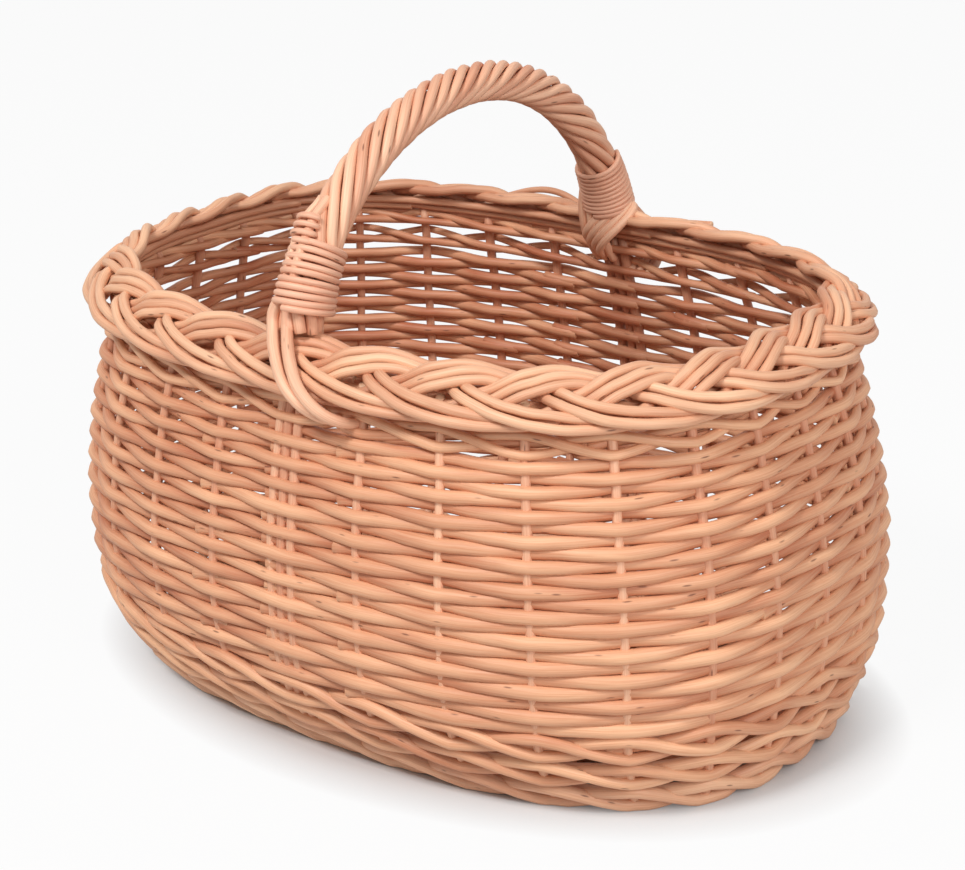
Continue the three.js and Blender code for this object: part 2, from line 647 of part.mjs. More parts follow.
function tail(route, x, lean, front) {
  const side = front ? -1 : 1;
  const points = route.map(([out, up], n) => new THREE.Vector3(x + lean * n / (route.length - 1),
    side * (RIM_HALF_WIDTH + out), RIM_HEIGHT + up));
  const stations = points.map((position, n) => {
    const along = points[Math.min(n + 1, points.length - 1)].clone().sub(points[Math.max(n - 1, 0)]).normalize();
    const across = sideways.clone().addScaledVector(along, -along.x).normalize();
    return { position, across, up: along.clone().cross(across) };
  });
  const section = roundSection(TAIL_DIAMETER, 4, Math.PI / 4);
  return sweep(stations, () => section, false);
}

function tails(front) {
  const rods = [];
  const spread = TAIL_DIAMETER * 0.92;
  for (let n = 0; n < OUTER_TAILS; n += 1) {
    const x = (n - (OUTER_TAILS - 1) / 2) * spread;
    rods.push(tail(outerRoute, x, x * 0.35, front));
  }
  for (let n = 0; n < INNER_TAILS; n += 1) {
    const x = (n - (INNER_TAILS - 1) / 2) * spread;
    rods.push(tail(innerRoute, x, x * 0.35, front));
  }
  return rods;
}

addPiece('handle_bow', joined([ropedBow(), ...tails(true), ...tails(false)]), handleWillow);

// Bindings: one thin rod wound round each shoulder of the handle
const archRadiusOfCurvature = HANDLE_RISE ** 2 / HANDLE_HALF_SPAN;
const bindingReach = ((HANDLE_SHOULDER_DIAMETER + BINDING_DIAMETER) / 2 + CLEARANCE)
  / Math.cos(Math.PI / BINDING_STEPS);
const BINDING_PITCH = (BINDING_DIAMETER + BINDING_GAP) / (1 - bindingReach / archRadiusOfCurvature);
const BINDING_START = HANDLE_END_LIFT + 5 + BINDING_DIAMETER / 2;

function bindingPoint(turn, front) {
  const startAngle = Math.asin((HANDLE_SPRING_DROP + BINDING_START) / HANDLE_RISE);
  const travelled = startAngle + turn * BINDING_PITCH / HANDLE_RISE;
  const angle = front ? travelled : Math.PI - travelled;
  const { position, across, up } = archStation(angle);
  const radius = (archDiameter(angle) / 2 + CLEARANCE + BINDING_DIAMETER / 2) / Math.cos(Math.PI / BINDING_STEPS);
  const around = 2 * Math.PI * turn;
  const outward = across.clone().multiplyScalar(Math.cos(around)).addScaledVector(up, Math.sin(around));
  return { position: position.addScaledVector(outward, radius), outward };
}

function binding(front) {
  const count = BINDING_TURNS * BINDING_STEPS;
  const stations = [];
  for (let n = 0; n <= count; n += 1) {
    const turn = n / BINDING_STEPS;
    const here = bindingPoint(turn, front);
    const before = bindingPoint(Math.max(0, turn - 1 / BINDING_STEPS), front).position;
    const after = bindingPoint(Math.min(BINDING_TURNS, turn + 1 / BINDING_STEPS), front).position;
    const along = after.sub(before).normalize();
    const across = here.outward.clone().addScaledVector(along, -along.dot(here.outward)).normalize();
    stations.push({ position: here.position, across, up: along.clone().cross(across) });
  }
  return { stations, geometry: sweep(stations, () => roundSection(BINDING_DIAMETER, BINDING_SIDES), false) };
}

// The least distance between one turn's points and the next turn's, less the rod
function leastSelfGap(stations) {
  let least = Infinity;
  stations.forEach((from, n) => {
    for (let m = n + BINDING_STEPS / 2; m < stations.length; m += 1) {
      least = Math.min(least, from.position.distanceTo(stations[m].position) - BINDING_DIAMETER);
    }
  });
  return least;
}

for (const front of [true, false]) {
  const { stations, geometry } = binding(front);
  const name = front ? 'binding_front' : 'binding_back';
  addPiece(name, geometry, bindingWillow);
  console.log(`${name}: least gap between its turns ${leastSelfGap(stations).toFixed(2)} mm`);
}

export default basket;
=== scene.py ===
import math

import bmesh
import bpy
import numpy as np
from mathutils import Matrix, Vector


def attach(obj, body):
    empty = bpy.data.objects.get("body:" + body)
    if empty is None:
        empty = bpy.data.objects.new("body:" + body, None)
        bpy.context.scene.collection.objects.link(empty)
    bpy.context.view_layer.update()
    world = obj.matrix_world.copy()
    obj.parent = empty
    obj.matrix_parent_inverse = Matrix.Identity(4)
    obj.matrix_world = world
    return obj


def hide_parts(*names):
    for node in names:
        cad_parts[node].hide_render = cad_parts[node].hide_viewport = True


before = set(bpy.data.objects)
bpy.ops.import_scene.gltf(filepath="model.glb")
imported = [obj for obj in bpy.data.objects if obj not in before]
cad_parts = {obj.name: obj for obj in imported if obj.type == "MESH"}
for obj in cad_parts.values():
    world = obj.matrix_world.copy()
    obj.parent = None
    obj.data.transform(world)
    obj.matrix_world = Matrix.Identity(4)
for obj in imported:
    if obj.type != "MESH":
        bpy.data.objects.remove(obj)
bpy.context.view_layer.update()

# A market basket of buff willow. Lengths are in millimetres up to the point where a mesh is made, angles
# are in radians, and a place is counted in uprights round the basket.
MM = 0.001
dice = np.random.default_rng(27)

UPRIGHTS = 28
HALF_WAY = UPRIGHTS // 2
RAND_ROWS = 22
WALING_STRANDS = 3
PLAN_POWER = 2.7
RIM_HALF_LENGTH, RIM_HALF_WIDTH = 212, 148
NECK_HALF_LENGTH, NECK_HALF_WIDTH = 201, 139.5
BELLY_HALF_LENGTH, BELLY_HALF_WIDTH, BELLY_HEIGHT = 220.5, 158, 85
FOOT_HALF_LENGTH, FOOT_HALF_WIDTH = 203, 121
TURN_UP_POWER, NECK_POWER = 2.4, 1.8
END_RISE = 5.5
SPACING_SPREAD = 10
COURSE_GAP = 0.3
STAKE_LINE_INSET = 8.85

STAKE_DIAMETER, STAKE_TOP = 5.1, 208
LINER_ROD_DIAMETER, LINER_TOP = 5.8, 207
LINER_ROD_PLACES = (-6.1, -0.2, 6.0)

# Rows: a weaver's reach is how far its middle swings out of the stakes' line. On the far side the
# weave is looser and thinner.
LOW_WEAVER_DIAMETER, HIGH_WEAVER_DIAMETER = 7.0, 5.6
LOW_WEAVER_REACH, HIGH_WEAVER_REACH = 2.4, 3.2
LOOSER_FAR_SIDE, THINNER_FAR_SIDE = 0.34, 0.08
ROW_PITCH, ROW_HALF_HEIGHT = 5.85, 2.775
PITCH_SPREAD = 0.7

# Walings: their rods rise and fall by the half rise
FOOT_CENTRE, FOOT_HALF_RISE, FOOT_ROD_DIAMETER = 8.35, 6.3, 6.2
FOOT_TOP = 17.5
WALE_HALF_RISE, WALE_DIAMETER = 5.7, 5.9
WALE_HEIGHT = 16.5
RODS_IN_WALE = 6
LOWER_WALE_CENTRES = [FOOT_TOP + COURSE_GAP + WALE_HEIGHT / 2 + n * (WALE_HEIGHT + COURSE_GAP)
                      for n in range(2)]
FIRST_ROW = LOWER_WALE_CENTRES[1] + WALE_HEIGHT / 2 + COURSE_GAP + ROW_HALF_HEIGHT
ROWS_TOP = FIRST_ROW + (RAND_ROWS - 1) * ROW_PITCH + ROW_HALF_HEIGHT
UPPER_WALE_HALF_RISE, UPPER_WALE_DIAMETER, UPPER_WALE_HALF_HEIGHT = 4.3, 4.6, 6.75
UPPER_WALE_CENTRE = ROWS_TOP + COURSE_GAP + UPPER_WALE_HALF_HEIGHT
WALL_TOP = UPPER_WALE_CENTRE + UPPER_WALE_HALF_HEIGHT
TOP_WALE_CENTRE, TOP_WALE_HALF_RISE, TOP_WALE_DIAMETER = UPPER_WALE_CENTRE + 12.5, 3.0, 4.8

# Border: a tilted ribbon, flat in the middle and rolled down at both edges. A lane is the room of one
# rod in a strand; sway and lift are how far a strand swings across the ribbon and rises off it.
BORDER_HALF_LENGTH, BORDER_HALF_WIDTH = 197, 134
BORDER_CENTRE = 209.6
BORDER_TILT = math.radians(39)
BORDER_RISE_LEFT, BORDER_RISE_RIGHT, BORDER_RISE_BACK = 7.5, 3.5, 3.0
BORDER_FLAT, BORDER_ROLL = 7.5, 11.0
BORDER_ROD_DIAMETER = 5.1
BORDER_LANE = 5.5
BORDER_SWAY = 15.5
BORDER_LIFT = 2.6
# At the back the crests reach further in and the strands rise less
FULLER_BACK, FLATTER_BACK = 2.2, 0.4
GROUPS = 26
FIRST_GROUP = 0.08
RIM_HEIGHT = 219.1

SPRING_HEIGHT = RIM_HEIGHT - 20.5
HANDLE_HALF_SPAN, HANDLE_RISE = 127, 114.5
HANDLE_SWAY = 4.5
HANDLE_ENDS_AT = 25.5
CROWN_DIAMETER, SHOULDER_DIAMETER = 20.2, 21.6
BOW_CORE_DIAMETER = 10
ROPING_RODS, ROPING_RADIUS, SHOULDER_SWELL = 8, 2.38, 0.55
# How long one turn of the roping is at the crown, and by what share it is slower at the shoulders
CROWN_TWIST_LENGTH, SLOWER_SHOULDER = 80, 0.55

# Base: its rods are the ones that are wound round its sticks
BASE_CENTRE = FOOT_TOP - 2.7
BASE_STICK_DIAMETER, BASE_STICK_PITCH = 5, 5.4
BASE_CROSS_STICKS, BASE_FAN_STICKS = 5, 5
BASE_FAN = math.pi / 6
BASE_ROD_DIAMETER, BASE_ROD_GAP = 4.3, 0.8
BASE_ROUNDS = 11
BASE_DIP_ROOM = 24


# The basket's outline and wall

def signed_power(value, power):
    """The power of a value's size, with the value's sign."""
    return np.sign(value) * np.abs(value) ** power


def plan(half_length, half_width, angle):
    """Points of the oval plan, a superellipse."""
    return np.stack([half_length * signed_power(np.cos(angle), 2 / PLAN_POWER),
                     half_width * signed_power(np.sin(angle), 2 / PLAN_POWER)], -1)


def plan_normal(half_length, half_width, point):
    """Which way the plan's edge faces at its points."""
    normal = np.stack([signed_power(point[..., 0] / half_length, PLAN_POWER - 1) / half_length,
                       signed_power(point[..., 1] / half_width, PLAN_POWER - 1) / half_width], -1)
    return normal / np.linalg.norm(normal, axis=-1, keepdims=True)


neck_angles = np.linspace(-math.pi / 2, 1.5 * math.pi, 8001)
neck_steps = np.linalg.norm(np.diff(plan(NECK_HALF_LENGTH, NECK_HALF_WIDTH, neck_angles), axis=0), axis=1)
neck_arcs = np.concatenate([[0], np.cumsum(neck_steps)])
GIRTH = neck_arcs[-1]


def angle_at(arc):
    """The plan's angle at an arc, a length along the neck's line from the middle of the front."""
    return np.interp(np.mod(arc, GIRTH), neck_arcs, neck_angles)


def arc_of(place):
    """Arc of an upright: 0 is the middle of the front, 7 the right end, 14 the middle of the back."""
    place = np.asarray(place, float)
    return place * GIRTH / UPRIGHTS + SPACING_SPREAD * np.sin(4 * math.pi * place / UPRIGHTS)


def half_at(foot, belly, neck, height):
    """Half a length or width of the wall at a height, from what it is at the foot, belly and neck."""
    below = np.maximum(0, 1 - height / BELLY_HEIGHT)
    above = np.maximum(0, (height - BELLY_HEIGHT) / (WALL_TOP - BELLY_HEIGHT))
    return belly - (belly - foot) * below ** TURN_UP_POWER - (belly - neck) * above ** NECK_POWER


def wall_halves(height):
    return (half_at(FOOT_HALF_LENGTH, BELLY_HALF_LENGTH, NECK_HALF_LENGTH, height),
            half_at(FOOT_HALF_WIDTH, BELLY_HALF_WIDTH, NECK_HALF_WIDTH, height))


def end_rise(x, height):
    """The wall's courses rise a little towards the basket's ends."""
    return END_RISE * (x / RIM_HALF_LENGTH) ** 2 * height / WALL_TOP


def wall(arc, height, outwards):
    """Points on the line of the stakes, moved outwards square to the leaning wall."""
    arc, height, outwards = np.broadcast_arrays(np.asarray(arc, float), height, outwards)
    angle = angle_at(arc)

    def stake_line(z):
        half_length, half_width = wall_halves(z)
        return plan(half_length - STAKE_LINE_INSET, half_width - STAKE_LINE_INSET, angle)

    point = stake_line(height)
    half_length, half_width = wall_halves(height)
    normal = plan_normal(half_length - STAKE_LINE_INSET, half_width - STAKE_LINE_INSET, point)
    lean = ((stake_line(height + 1) - stake_line(height - 1)) * normal).sum(-1) / 2
    moved = point + normal * (outwards * np.hypot(1, lean))[..., None]
    return np.concatenate([moved, (height + end_rise(point[..., 0], height))[..., None]], -1)


# Rods

ROD_UNEVENNESS = 0.035
# A cut end: its depth past the rod's last point, and its ring's share of that depth and of the radius
CUT_DEPTH, CUT_RING_DEPTH, CUT_RING_SIZE = 0.35, 0.8, 0.88
WELD = 1e-6


def ripple(along, size, longest=70.0):
    """A slow uneven wave along a rod, never the same twice."""
    total = np.zeros(len(along))
    for share, length in ((0.6, longest), (0.3, longest * 0.43), (0.2, longest * 0.19)):
        total += share * np.sin(2 * math.pi * (along / length + dice.random()))
    return size * total


def travelled(points):
    """How far along the line each of its points is."""
    steps = np.linalg.norm(np.diff(points, axis=0), axis=1)
    return np.concatenate([[0], np.cumsum(steps)])


def rod(points, butt, tip, tone_and_painted_light=None):
    """One willow rod, as thick as butt at its start and as tip at its end; tone 1 is the darkest, and for some
    rods the tone also holds painted highlight and shade.
    """
    points = np.asarray(points, float)
    along = travelled(points)
    share = along / along[-1]
    radius = (butt + (tip - butt) * share) / 2 * (1 + ripple(along, ROD_UNEVENNESS))
    tone_and_painted_light = np.broadcast_to(dice.random() if tone_and_painted_light is None else tone_and_painted_light, len(points))
    return {"points": points, "radius": radius, "along": along, "tone_and_painted_light": tone_and_painted_light}


def catmull_rom(knots, n, t):
    """Points of the smooth curve from knot n to the next one, for t from 0 to 1."""
    padded = np.vstack([2 * knots[0] - knots[1], knots, 2 * knots[-1] - knots[-2]])
    a, b, c, d = padded[n:n + 4]
    return 0.5 * (2 * b + (c - a) * t + (2 * a - 5 * b + 4 * c - d) * t ** 2 + (3 * b - a - 3 * c + d) * t ** 3)


def smooth_path(knots, spacing=3.0):
    """An even run of points on a Catmull-Rom curve through the knots."""
    knots = np.asarray(knots, float)
    t = np.linspace(0, 1, 16, endpoint=False)[:, None]
    fine = np.vstack([catmull_rom(knots, n, t) for n in range(len(knots) - 1)] + [knots[-1:]])
    along = travelled(fine)
    even = np.linspace(0, along[-1], max(4, int(along[-1] / spacing) + 1))
    return np.stack([np.interp(even, along, fine[:, k]) for k in range(3)], -1)


def with_cut_ends(each):
    """Adds the cut faces at both ends of a rod: a slightly smaller ring and then a point."""
    points, radius, along = each["points"], each["radius"], each["along"]
    first = points[1] - points[0]
    last = points[-1] - points[-2]
    first /= np.linalg.norm(first)
    last /= np.linalg.norm(last)
    before = np.stack([points[0] - first * CUT_DEPTH, points[0] - first * CUT_DEPTH * CUT_RING_DEPTH])
    after = np.stack([points[-1] + last * CUT_DEPTH * CUT_RING_DEPTH, points[-1] + last * CUT_DEPTH])
    cut = np.concatenate([[1, 1], np.zeros(len(points)), [1, 1]])
    points = np.vstack([before, points, after])
    radius = np.concatenate([[0, radius[0] * CUT_RING_SIZE], radius, [radius[-1] * CUT_RING_SIZE, 0]])
    along = np.concatenate([[-CUT_DEPTH, -CUT_DEPTH * CUT_RING_DEPTH], along,
                            along[-1] + np.array([CUT_RING_DEPTH, 1]) * CUT_DEPTH])
    tone_and_painted_light = np.pad(each["tone_and_painted_light"], 2, "edge")
    return points, radius, along, tone_and_painted_light, cut


def lay(name, rods, nodes, material, sides=10):
    """Makes one piece of rods, each with a round section of that many sides.

    Its attributes are grain, a place in the wood whose first coordinate runs along the rod, the
    rod's tone, which for some rods also holds painted highlight and shade, and its cut faces.
    """
    curve = bpy.data.curves.new(name, "CURVE")
    curve.dimensions = "3D"
    curve.bevel_depth = 1.0
    curve.bevel_resolution = (sides - 4) // 2
    curve.twist_mode = "MINIMUM"
    turn = 2 * math.pi * np.arange(sides) / sides
    grain, tones_and_painted_light, cuts = [], [], []
    for each in rods:
        points, radius, along, tone_and_painted_light, cut = with_cut_ends(each)
        spline = curve.splines.new("POLY")
        spline.points.add(len(points) - 1)
        spline.points.foreach_set("co", np.c_[points * MM, np.ones(len(points))].ravel())
        spline.points.foreach_set("radius", radius * MM)
        spline.use_smooth = True
        offset = dice.uniform(0, 4000)
        full = np.maximum(radius, 0.02)[:, None]
        ring = np.stack([np.broadcast_to(along[:, None] + offset, (len(points), sides)),
                         full * np.cos(turn) + offset, full * np.sin(turn)], -1)
        grain.append(ring.reshape(-1, 3))
        tones_and_painted_light.append(np.repeat(tone_and_painted_light, sides))
        cuts.append(np.repeat(cut, sides))
    holder = bpy.data.objects.new(name + "_line", curve)
    bpy.context.collection.objects.link(holder)
    mesh = bpy.data.meshes.new_from_object(holder.evaluated_get(bpy.context.evaluated_depsgraph_get()))
    bpy.data.objects.remove(holder)
    bpy.data.curves.remove(curve)
    mesh.name = name
    for label, kind, values in (("grain", "FLOAT_VECTOR", np.concatenate(grain)),
                                ("tone_and_painted_light", "FLOAT", np.concatenate(tones_and_painted_light)),
                                ("cut", "FLOAT", np.concatenate(cuts))):
        layer = mesh.attributes.new(label, kind, "POINT")
        layer.data.foreach_set("vector" if kind == "FLOAT_VECTOR" else "value", values.ravel())
    shape = bmesh.new()
    shape.from_mesh(mesh)
    bmesh.ops.remove_doubles(shape, verts=shape.verts, dist=WELD)
    shape.to_mesh(mesh)
    shape.free()
    mesh.materials.clear()
    mesh.materials.append(material)
    piece = bpy.data.objects.new(name, mesh)
    bpy.context.collection.objects.link(piece)
    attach(piece, "root")
    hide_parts(*nodes)


# Materials

class Signal:
    """A socket whose Python arithmetic adds Math nodes."""

    def __init__(self, surface, socket):
        self.surface = surface
        self.socket = socket

    def combined(self, operation, *values):
        return self.surface.add("ShaderNodeMath", {"operation": operation}, dict(enumerate(values)))

    def __add__(self, other):
        return self.combined("ADD", self, other)

    def __radd__(self, other):
        return self.combined("ADD", other, self)

    def __rsub__(self, other):
        return self.combined("SUBTRACT", other, self)

    def __mul__(self, other):
        return self.combined("MULTIPLY", self, other)

    def __rmul__(self, other):
        return self.combined("MULTIPLY", other, self)

    def between(self, low, high):
        """0 below low, 1 above high, and a straight slope between them."""
        return self.surface.add("ShaderNodeMapRange", {"clamp": True},
                                {"Value": self, "From Min": low, "From Max": high})


class Surface:
    """One material and its nodes. Its calls take node settings, then inputs by name or number."""

    def __init__(self, name):
        self.material = bpy.data.materials.new(name)
        self.material.use_nodes = True
        self.tree = self.material.node_tree
        self.shader = self.tree.nodes["Principled BSDF"]

    def add(self, kind, settings=None, sockets=None, output=0):
        node = self.tree.nodes.new(kind)
        for key, value in (settings or {}).items():
            setattr(node, key, value)
        for key, value in (sockets or {}).items():
            self.feed(node.inputs[key], value)
        return Signal(self, node.outputs[output])

    def feed(self, socket, value):
        if isinstance(value, Signal):
            self.tree.links.new(value.socket, socket)
        else:
            socket.default_value = value

    def blend(self, factor, first, second):
        """Two colours mixed; sockets 6 and 7 are the Mix node's colours and 2 its colour result."""
        return self.add("ShaderNodeMix", {"data_type": "RGBA"}, {0: factor, 6: first, 7: second}, 2)

    def set(self, **values):
        for key, value in values.items():
            self.feed(self.shader.inputs[key.replace("_", " ")], value)


def linear(red, green, blue):
    """A colour as it looks, 0 to 255, as the light it sends back."""
    def one(value):
        value /= 255
        return value / 12.92 if value <= 0.04045 else ((value + 0.055) / 1.055) ** 2.4
    return (one(red), one(green), one(blue), 1)


FIBRE_SHADE, FIBRE_SHINE = linear(190, 118, 82), linear(255, 224, 186)
BUD_SCAR, CUT_FACE = linear(112, 62, 40), linear(234, 198, 160)
SKIN_RELIEF = 0.0004


def willow(name, pale, deep, roughness=0.46):
    """Boiled and peeled willow: tones from rod to rod, long fibres, broad stains and small bud scars, and the
    painted highlight and shade that the tone attribute carries for some rods.
    """
    skin = Surface(name)
    grain = skin.add("ShaderNodeAttribute", {"attribute_name": "grain"}, output="Vector")
    tone_and_painted_light, cut = (skin.add("ShaderNodeAttribute", {"attribute_name": label}, output="Fac")
                 for label in ("tone_and_painted_light", "cut"))

    def stretched(along, around):
        return skin.add("ShaderNodeVectorMath", {"operation": "MULTIPLY"},
                        {0: grain, 1: (along, around, around)})

    def noise(along, around, detail):
        return skin.add("ShaderNodeTexNoise", {}, {"Vector": stretched(along, around), "Scale": 1.0,
                                                   "Detail": detail, "Roughness": 0.6}, "Fac")

    fibre = noise(0.035, 1.9, 3.0)
    stain = noise(0.018, 0.12, 2.0)
    blush = noise(0.006, 0.03, 1.0)
    spots = skin.add("ShaderNodeTexVoronoi", {"feature": "F1"},
                     {"Vector": stretched(0.04, 0.2), "Scale": 1.0, "Randomness": 1.0}, "Distance")
    bud = 1.0 - spots.between(0.05, 0.11)

    # The colour deepens with tone, stains and blush; the tone also carries painted highlight and shade
    stain_tone_and_painted_light = tone_and_painted_light * 0.55 + stain.between(0.3, 0.7) * 0.3 + blush.between(0.35, 0.65) * 0.25
    colour = skin.blend(stain_tone_and_painted_light.between(0.12, 0.98), linear(*pale), linear(*deep))
    colour = skin.blend(fibre.between(0.42, 0.7) * 0.3, colour, FIBRE_SHADE)
    colour = skin.blend(fibre.between(0.62, 0.4) * 0.12, colour, FIBRE_SHINE)
    colour = skin.blend(bud * 0.75, colour, BUD_SCAR)
    colour = skin.blend(cut * 0.6, colour, CUT_FACE)
    height = fibre * 0.5 + stain * 0.5 + bud * 0.6
    bump = skin.add("ShaderNodeBump", {}, {"Strength": 0.35, "Distance": SKIN_RELIEF, "Height": height})
    skin.set(Base_Color=colour, Roughness=roughness + 0.14 * fibre, Normal=bump)
    return skin.material


stake_willow = willow("stake willow", (240, 188, 154), (204, 134, 102))
weaver_willow = willow("weaver willow", (245, 189, 147), (180, 98, 63))
border_willow = willow("border willow", (244, 194, 156), (196, 122, 88))
base_willow = willow("base willow", (220, 160, 120), (176, 108, 74), 0.52)
handle_willow = willow("handle willow", (254, 206, 172), (208, 136, 104))
binding_willow = willow("binding willow", (248, 194, 164), (212, 144, 114))


# Where courses meet the uprights: a stake has one stop, a liner of three rods has two

LINER_REACH = 6.0
stop_list = []
for round_number in range(-1, WALING_STRANDS + 1):
    for place in range(UPRIGHTS):
        middle = float(arc_of(place)) + round_number * GIRTH
        reaches = (-LINER_REACH, LINER_REACH) if place % HALF_WAY == 0 else (0.0,)
        stop_list += [(middle + reach, place + round_number * UPRIGHTS) for reach in reaches]
stop_arcs = np.array([arc for arc, place in stop_list])
stop_places = np.array([place for arc, place in stop_list])


# A rod bends between two stops partly as a wave and partly straight
WAVE_SHARE = 0.45
COURSE_SPACING = 3.3
# A rod's butt is laid in before its first upright, and its tip goes past its last one and inwards
BUTT_PAST, TIP_PAST = (8, 13), (4, 9)
BUTT_LENGTH, TIP_LENGTH = 16, 22
BUTT_SINKS, TIP_RISES, TIP_GOES_IN = 0.7, 1.7, 0.25
BUTT_SHOWS = 1.2
# How far a course wanders up and down and in and out, and over what length
WANDER_UP, WANDER_OUT = (0.42, 110), (0.25, 60)
# The far side, as the camera sees it, is the back and the left end
FAR_BY_WIDTH, FAR_BY_LENGTH = 0.9, 0.6
# Painted highlight and shade: rods are painted paler where they lie further out in front of the uprights and
# deeper where they go in behind them
TONE_FLOOR, TONE_SPREAD, PAINTED_LIGHT_AND_SHADE = 0.35, 0.42, 0.4


def eased(arc, values):
    """Runs smoothly from each stop's value to the next one's."""
    left = np.clip(np.searchsorted(stop_arcs, arc, side="right") - 1, 0, len(stop_arcs) - 2)
    share = (arc - stop_arcs[left]) / (stop_arcs[left + 1] - stop_arcs[left])
    share = np.clip(share, 0, 1)
    share = WAVE_SHARE * (0.5 - 0.5 * np.cos(math.pi * share)) + (1 - WAVE_SHARE) * share
    return values[left] + (values[left + 1] - values[left]) * share


def arc_of_any(place):
    """Arc of an upright, also for places past the first round."""
    return float(arc_of(place % UPRIGHTS)) + place // UPRIGHTS * GIRTH


def course_rod(from_place, to_place, height, sides, lifts, butt, tip, reach, shows=BUTT_SHOWS):
    """A rod of a course, laid in at one upright and ending just past another on the inside.

    Sides (1 outside, -1 inside) and lifts are what the course does at each stop. Shows is how far the
    butt stands out.
    """
    start = arc_of_any(from_place) - dice.uniform(*BUTT_PAST)
    end = arc_of_any(to_place) + dice.uniform(*TIP_PAST)
    arc = np.linspace(start, end, int((end - start) / COURSE_SPACING))
    middle = wall(arc, height, 0.0)
    far_side = FAR_BY_WIDTH * middle[:, 1] / BELLY_HALF_WIDTH - FAR_BY_LENGTH * middle[:, 0] / BELLY_HALF_LENGTH
    outwards = eased(arc, sides) * reach * (1 + LOOSER_FAR_SIDE * far_side)
    entering = np.clip(1 - (arc - start) / BUTT_LENGTH, 0, 1) ** 2
    leaving = np.clip(1 - (end - arc) / TIP_LENGTH, 0, 1)
    outwards = outwards * (1 - TIP_GOES_IN * leaving) + entering * shows
    lift = eased(arc, lifts) + ripple(arc, *WANDER_UP) - BUTT_SINKS * entering + TIP_RISES * leaving
    # Tone is random per rod, plus painted highlight where the rod is out in front and painted shade where it
    # goes in behind
    tones_and_painted_light = np.clip(TONE_FLOOR + TONE_SPREAD * dice.random() - PAINTED_LIGHT_AND_SHADE * outwards / reach, 0, 1)
    outwards = outwards + ripple(arc, *WANDER_OUT)
    each = rod(wall(arc, height + lift, outwards), butt, tip, tones_and_painted_light)
    each["radius"] = each["radius"] * (1 - THINNER_FAR_SIDE * far_side)
    return each


# Stakes and the handle's liners

# Under the border an upright leans along the wall and outwards: from what height, over what rise, how far
TOP_LEAN, TOP_TURN_OUT = (196, 9, 2.0), (195, 13, 8)
UPRIGHT_TAPER = 0.04
UPRIGHT_SWAY = (0.45, 120)
stake_heights = np.concatenate([[3.0], np.linspace(10, STAKE_TOP + 0.5, 58)])


def upright_rod(arc, top, diameter):
    """A stake, or a rod of a liner, from just above the floor to its top under the border."""
    heights = stake_heights[stake_heights < top]
    lean, turn_out = (np.clip((heights - start) / rise, 0, 1) ** 2 * far
                      for start, rise, far in (TOP_LEAN, TOP_TURN_OUT))
    line = wall(arc + ripple(heights, *UPRIGHT_SWAY) + lean, heights, turn_out)
    return rod(line, diameter * (1 + UPRIGHT_TAPER), diameter * (1 - UPRIGHT_TAPER))


for place in range(UPRIGHTS):
    middle = float(arc_of(place))
    if place % HALF_WAY == 0:
        rods = [upright_rod(middle + along, LINER_TOP, LINER_ROD_DIAMETER) for along in LINER_ROD_PLACES]
        node = "handle_liner_front" if place == 0 else "handle_liner_back"
    else:
        rods = [upright_rod(middle, STAKE_TOP, STAKE_DIAMETER * dice.uniform(0.94, 1.04))]
        node = f"stake_{place:02d}"
    lay(node + "_rods", rods, [node], stake_willow)


# Randing: each row has two or three rods that taper from butt to tip

# A butt stands out more beside the front liner than elsewhere
LINER_BUTT_SHOWS, ROW_BUTT_SHOWS = 1.6, 0.3
NO_LIFTS = np.zeros(len(stop_arcs))


def inside_near(place, row):
    """The nearest upright to a place that this row passes on the inside."""
    return place if (place + row) % 2 else place + 1


for row in range(RAND_ROWS):
    sides = np.where((stop_places + row) % 2 == 0, 1.0, -1.0)
    joints = [inside_near(0 if row % 4 < 2 else -1, row), inside_near(int(13 + dice.integers(0, 3)), row)]
    if row % 3 == 1:
        joints.append(inside_near(int(6 + dice.integers(0, 3)), row))
    if row % 3 == 2:
        joints.append(inside_near(int(20 + dice.integers(0, 4)), row))
    joints = sorted(joints)
    joints.append(joints[0] + UPRIGHTS)
    rods = []
    risen = row / (RAND_ROWS - 1)
    row_height = FIRST_ROW + row * ROW_PITCH + PITCH_SPREAD * row * (1 - risen)
    thick = LOW_WEAVER_DIAMETER + (HIGH_WEAVER_DIAMETER - LOW_WEAVER_DIAMETER) * risen
    reach = LOW_WEAVER_REACH + (HIGH_WEAVER_REACH - LOW_WEAVER_REACH) * risen
    for here, following in zip(joints, joints[1:]):
        butt = thick * dice.uniform(1.03, 1.1)
        tip = thick * dice.uniform(0.87, 0.95)
        shows = LINER_BUTT_SHOWS if abs(here) < 2 else ROW_BUTT_SHOWS
        rods.append(course_rod(here, following, row_height, sides, NO_LIFTS, butt, tip, reach, shows))
    name = f"rand_row_{row + 1:02d}"
    lay(name + "_rods", rods, [name], weaver_willow)


# Waling: in front of two uprights and behind one, in three rounds that run on into each other

# How far the willow gives way where it crosses a stake
WALE_PRESS = 1.6


def waling(centre, half_rise, diameter, spread):
    """The rods of one waling; spread is how much they taper and differ."""
    phase = stop_places % WALING_STRANDS
    sides = np.where(phase == 0, -1.0, 1.0)
    lifts = np.array([0.0, half_rise, -half_rise])[phase]
    reach = (STAKE_DIAMETER + diameter) / 2 - WALE_PRESS
    length = UPRIGHTS * WALING_STRANDS // RODS_IN_WALE // WALING_STRANDS * WALING_STRANDS
    joints = [n * length for n in range(RODS_IN_WALE)]
    joints.append(UPRIGHTS * WALING_STRANDS)
    return [course_rod(here, following, centre, sides, lifts, diameter * dice.uniform(1.02, 1.02 + spread),
                       diameter * dice.uniform(0.98 - spread, 0.98), reach)
            for here, following in zip(joints, joints[1:])]


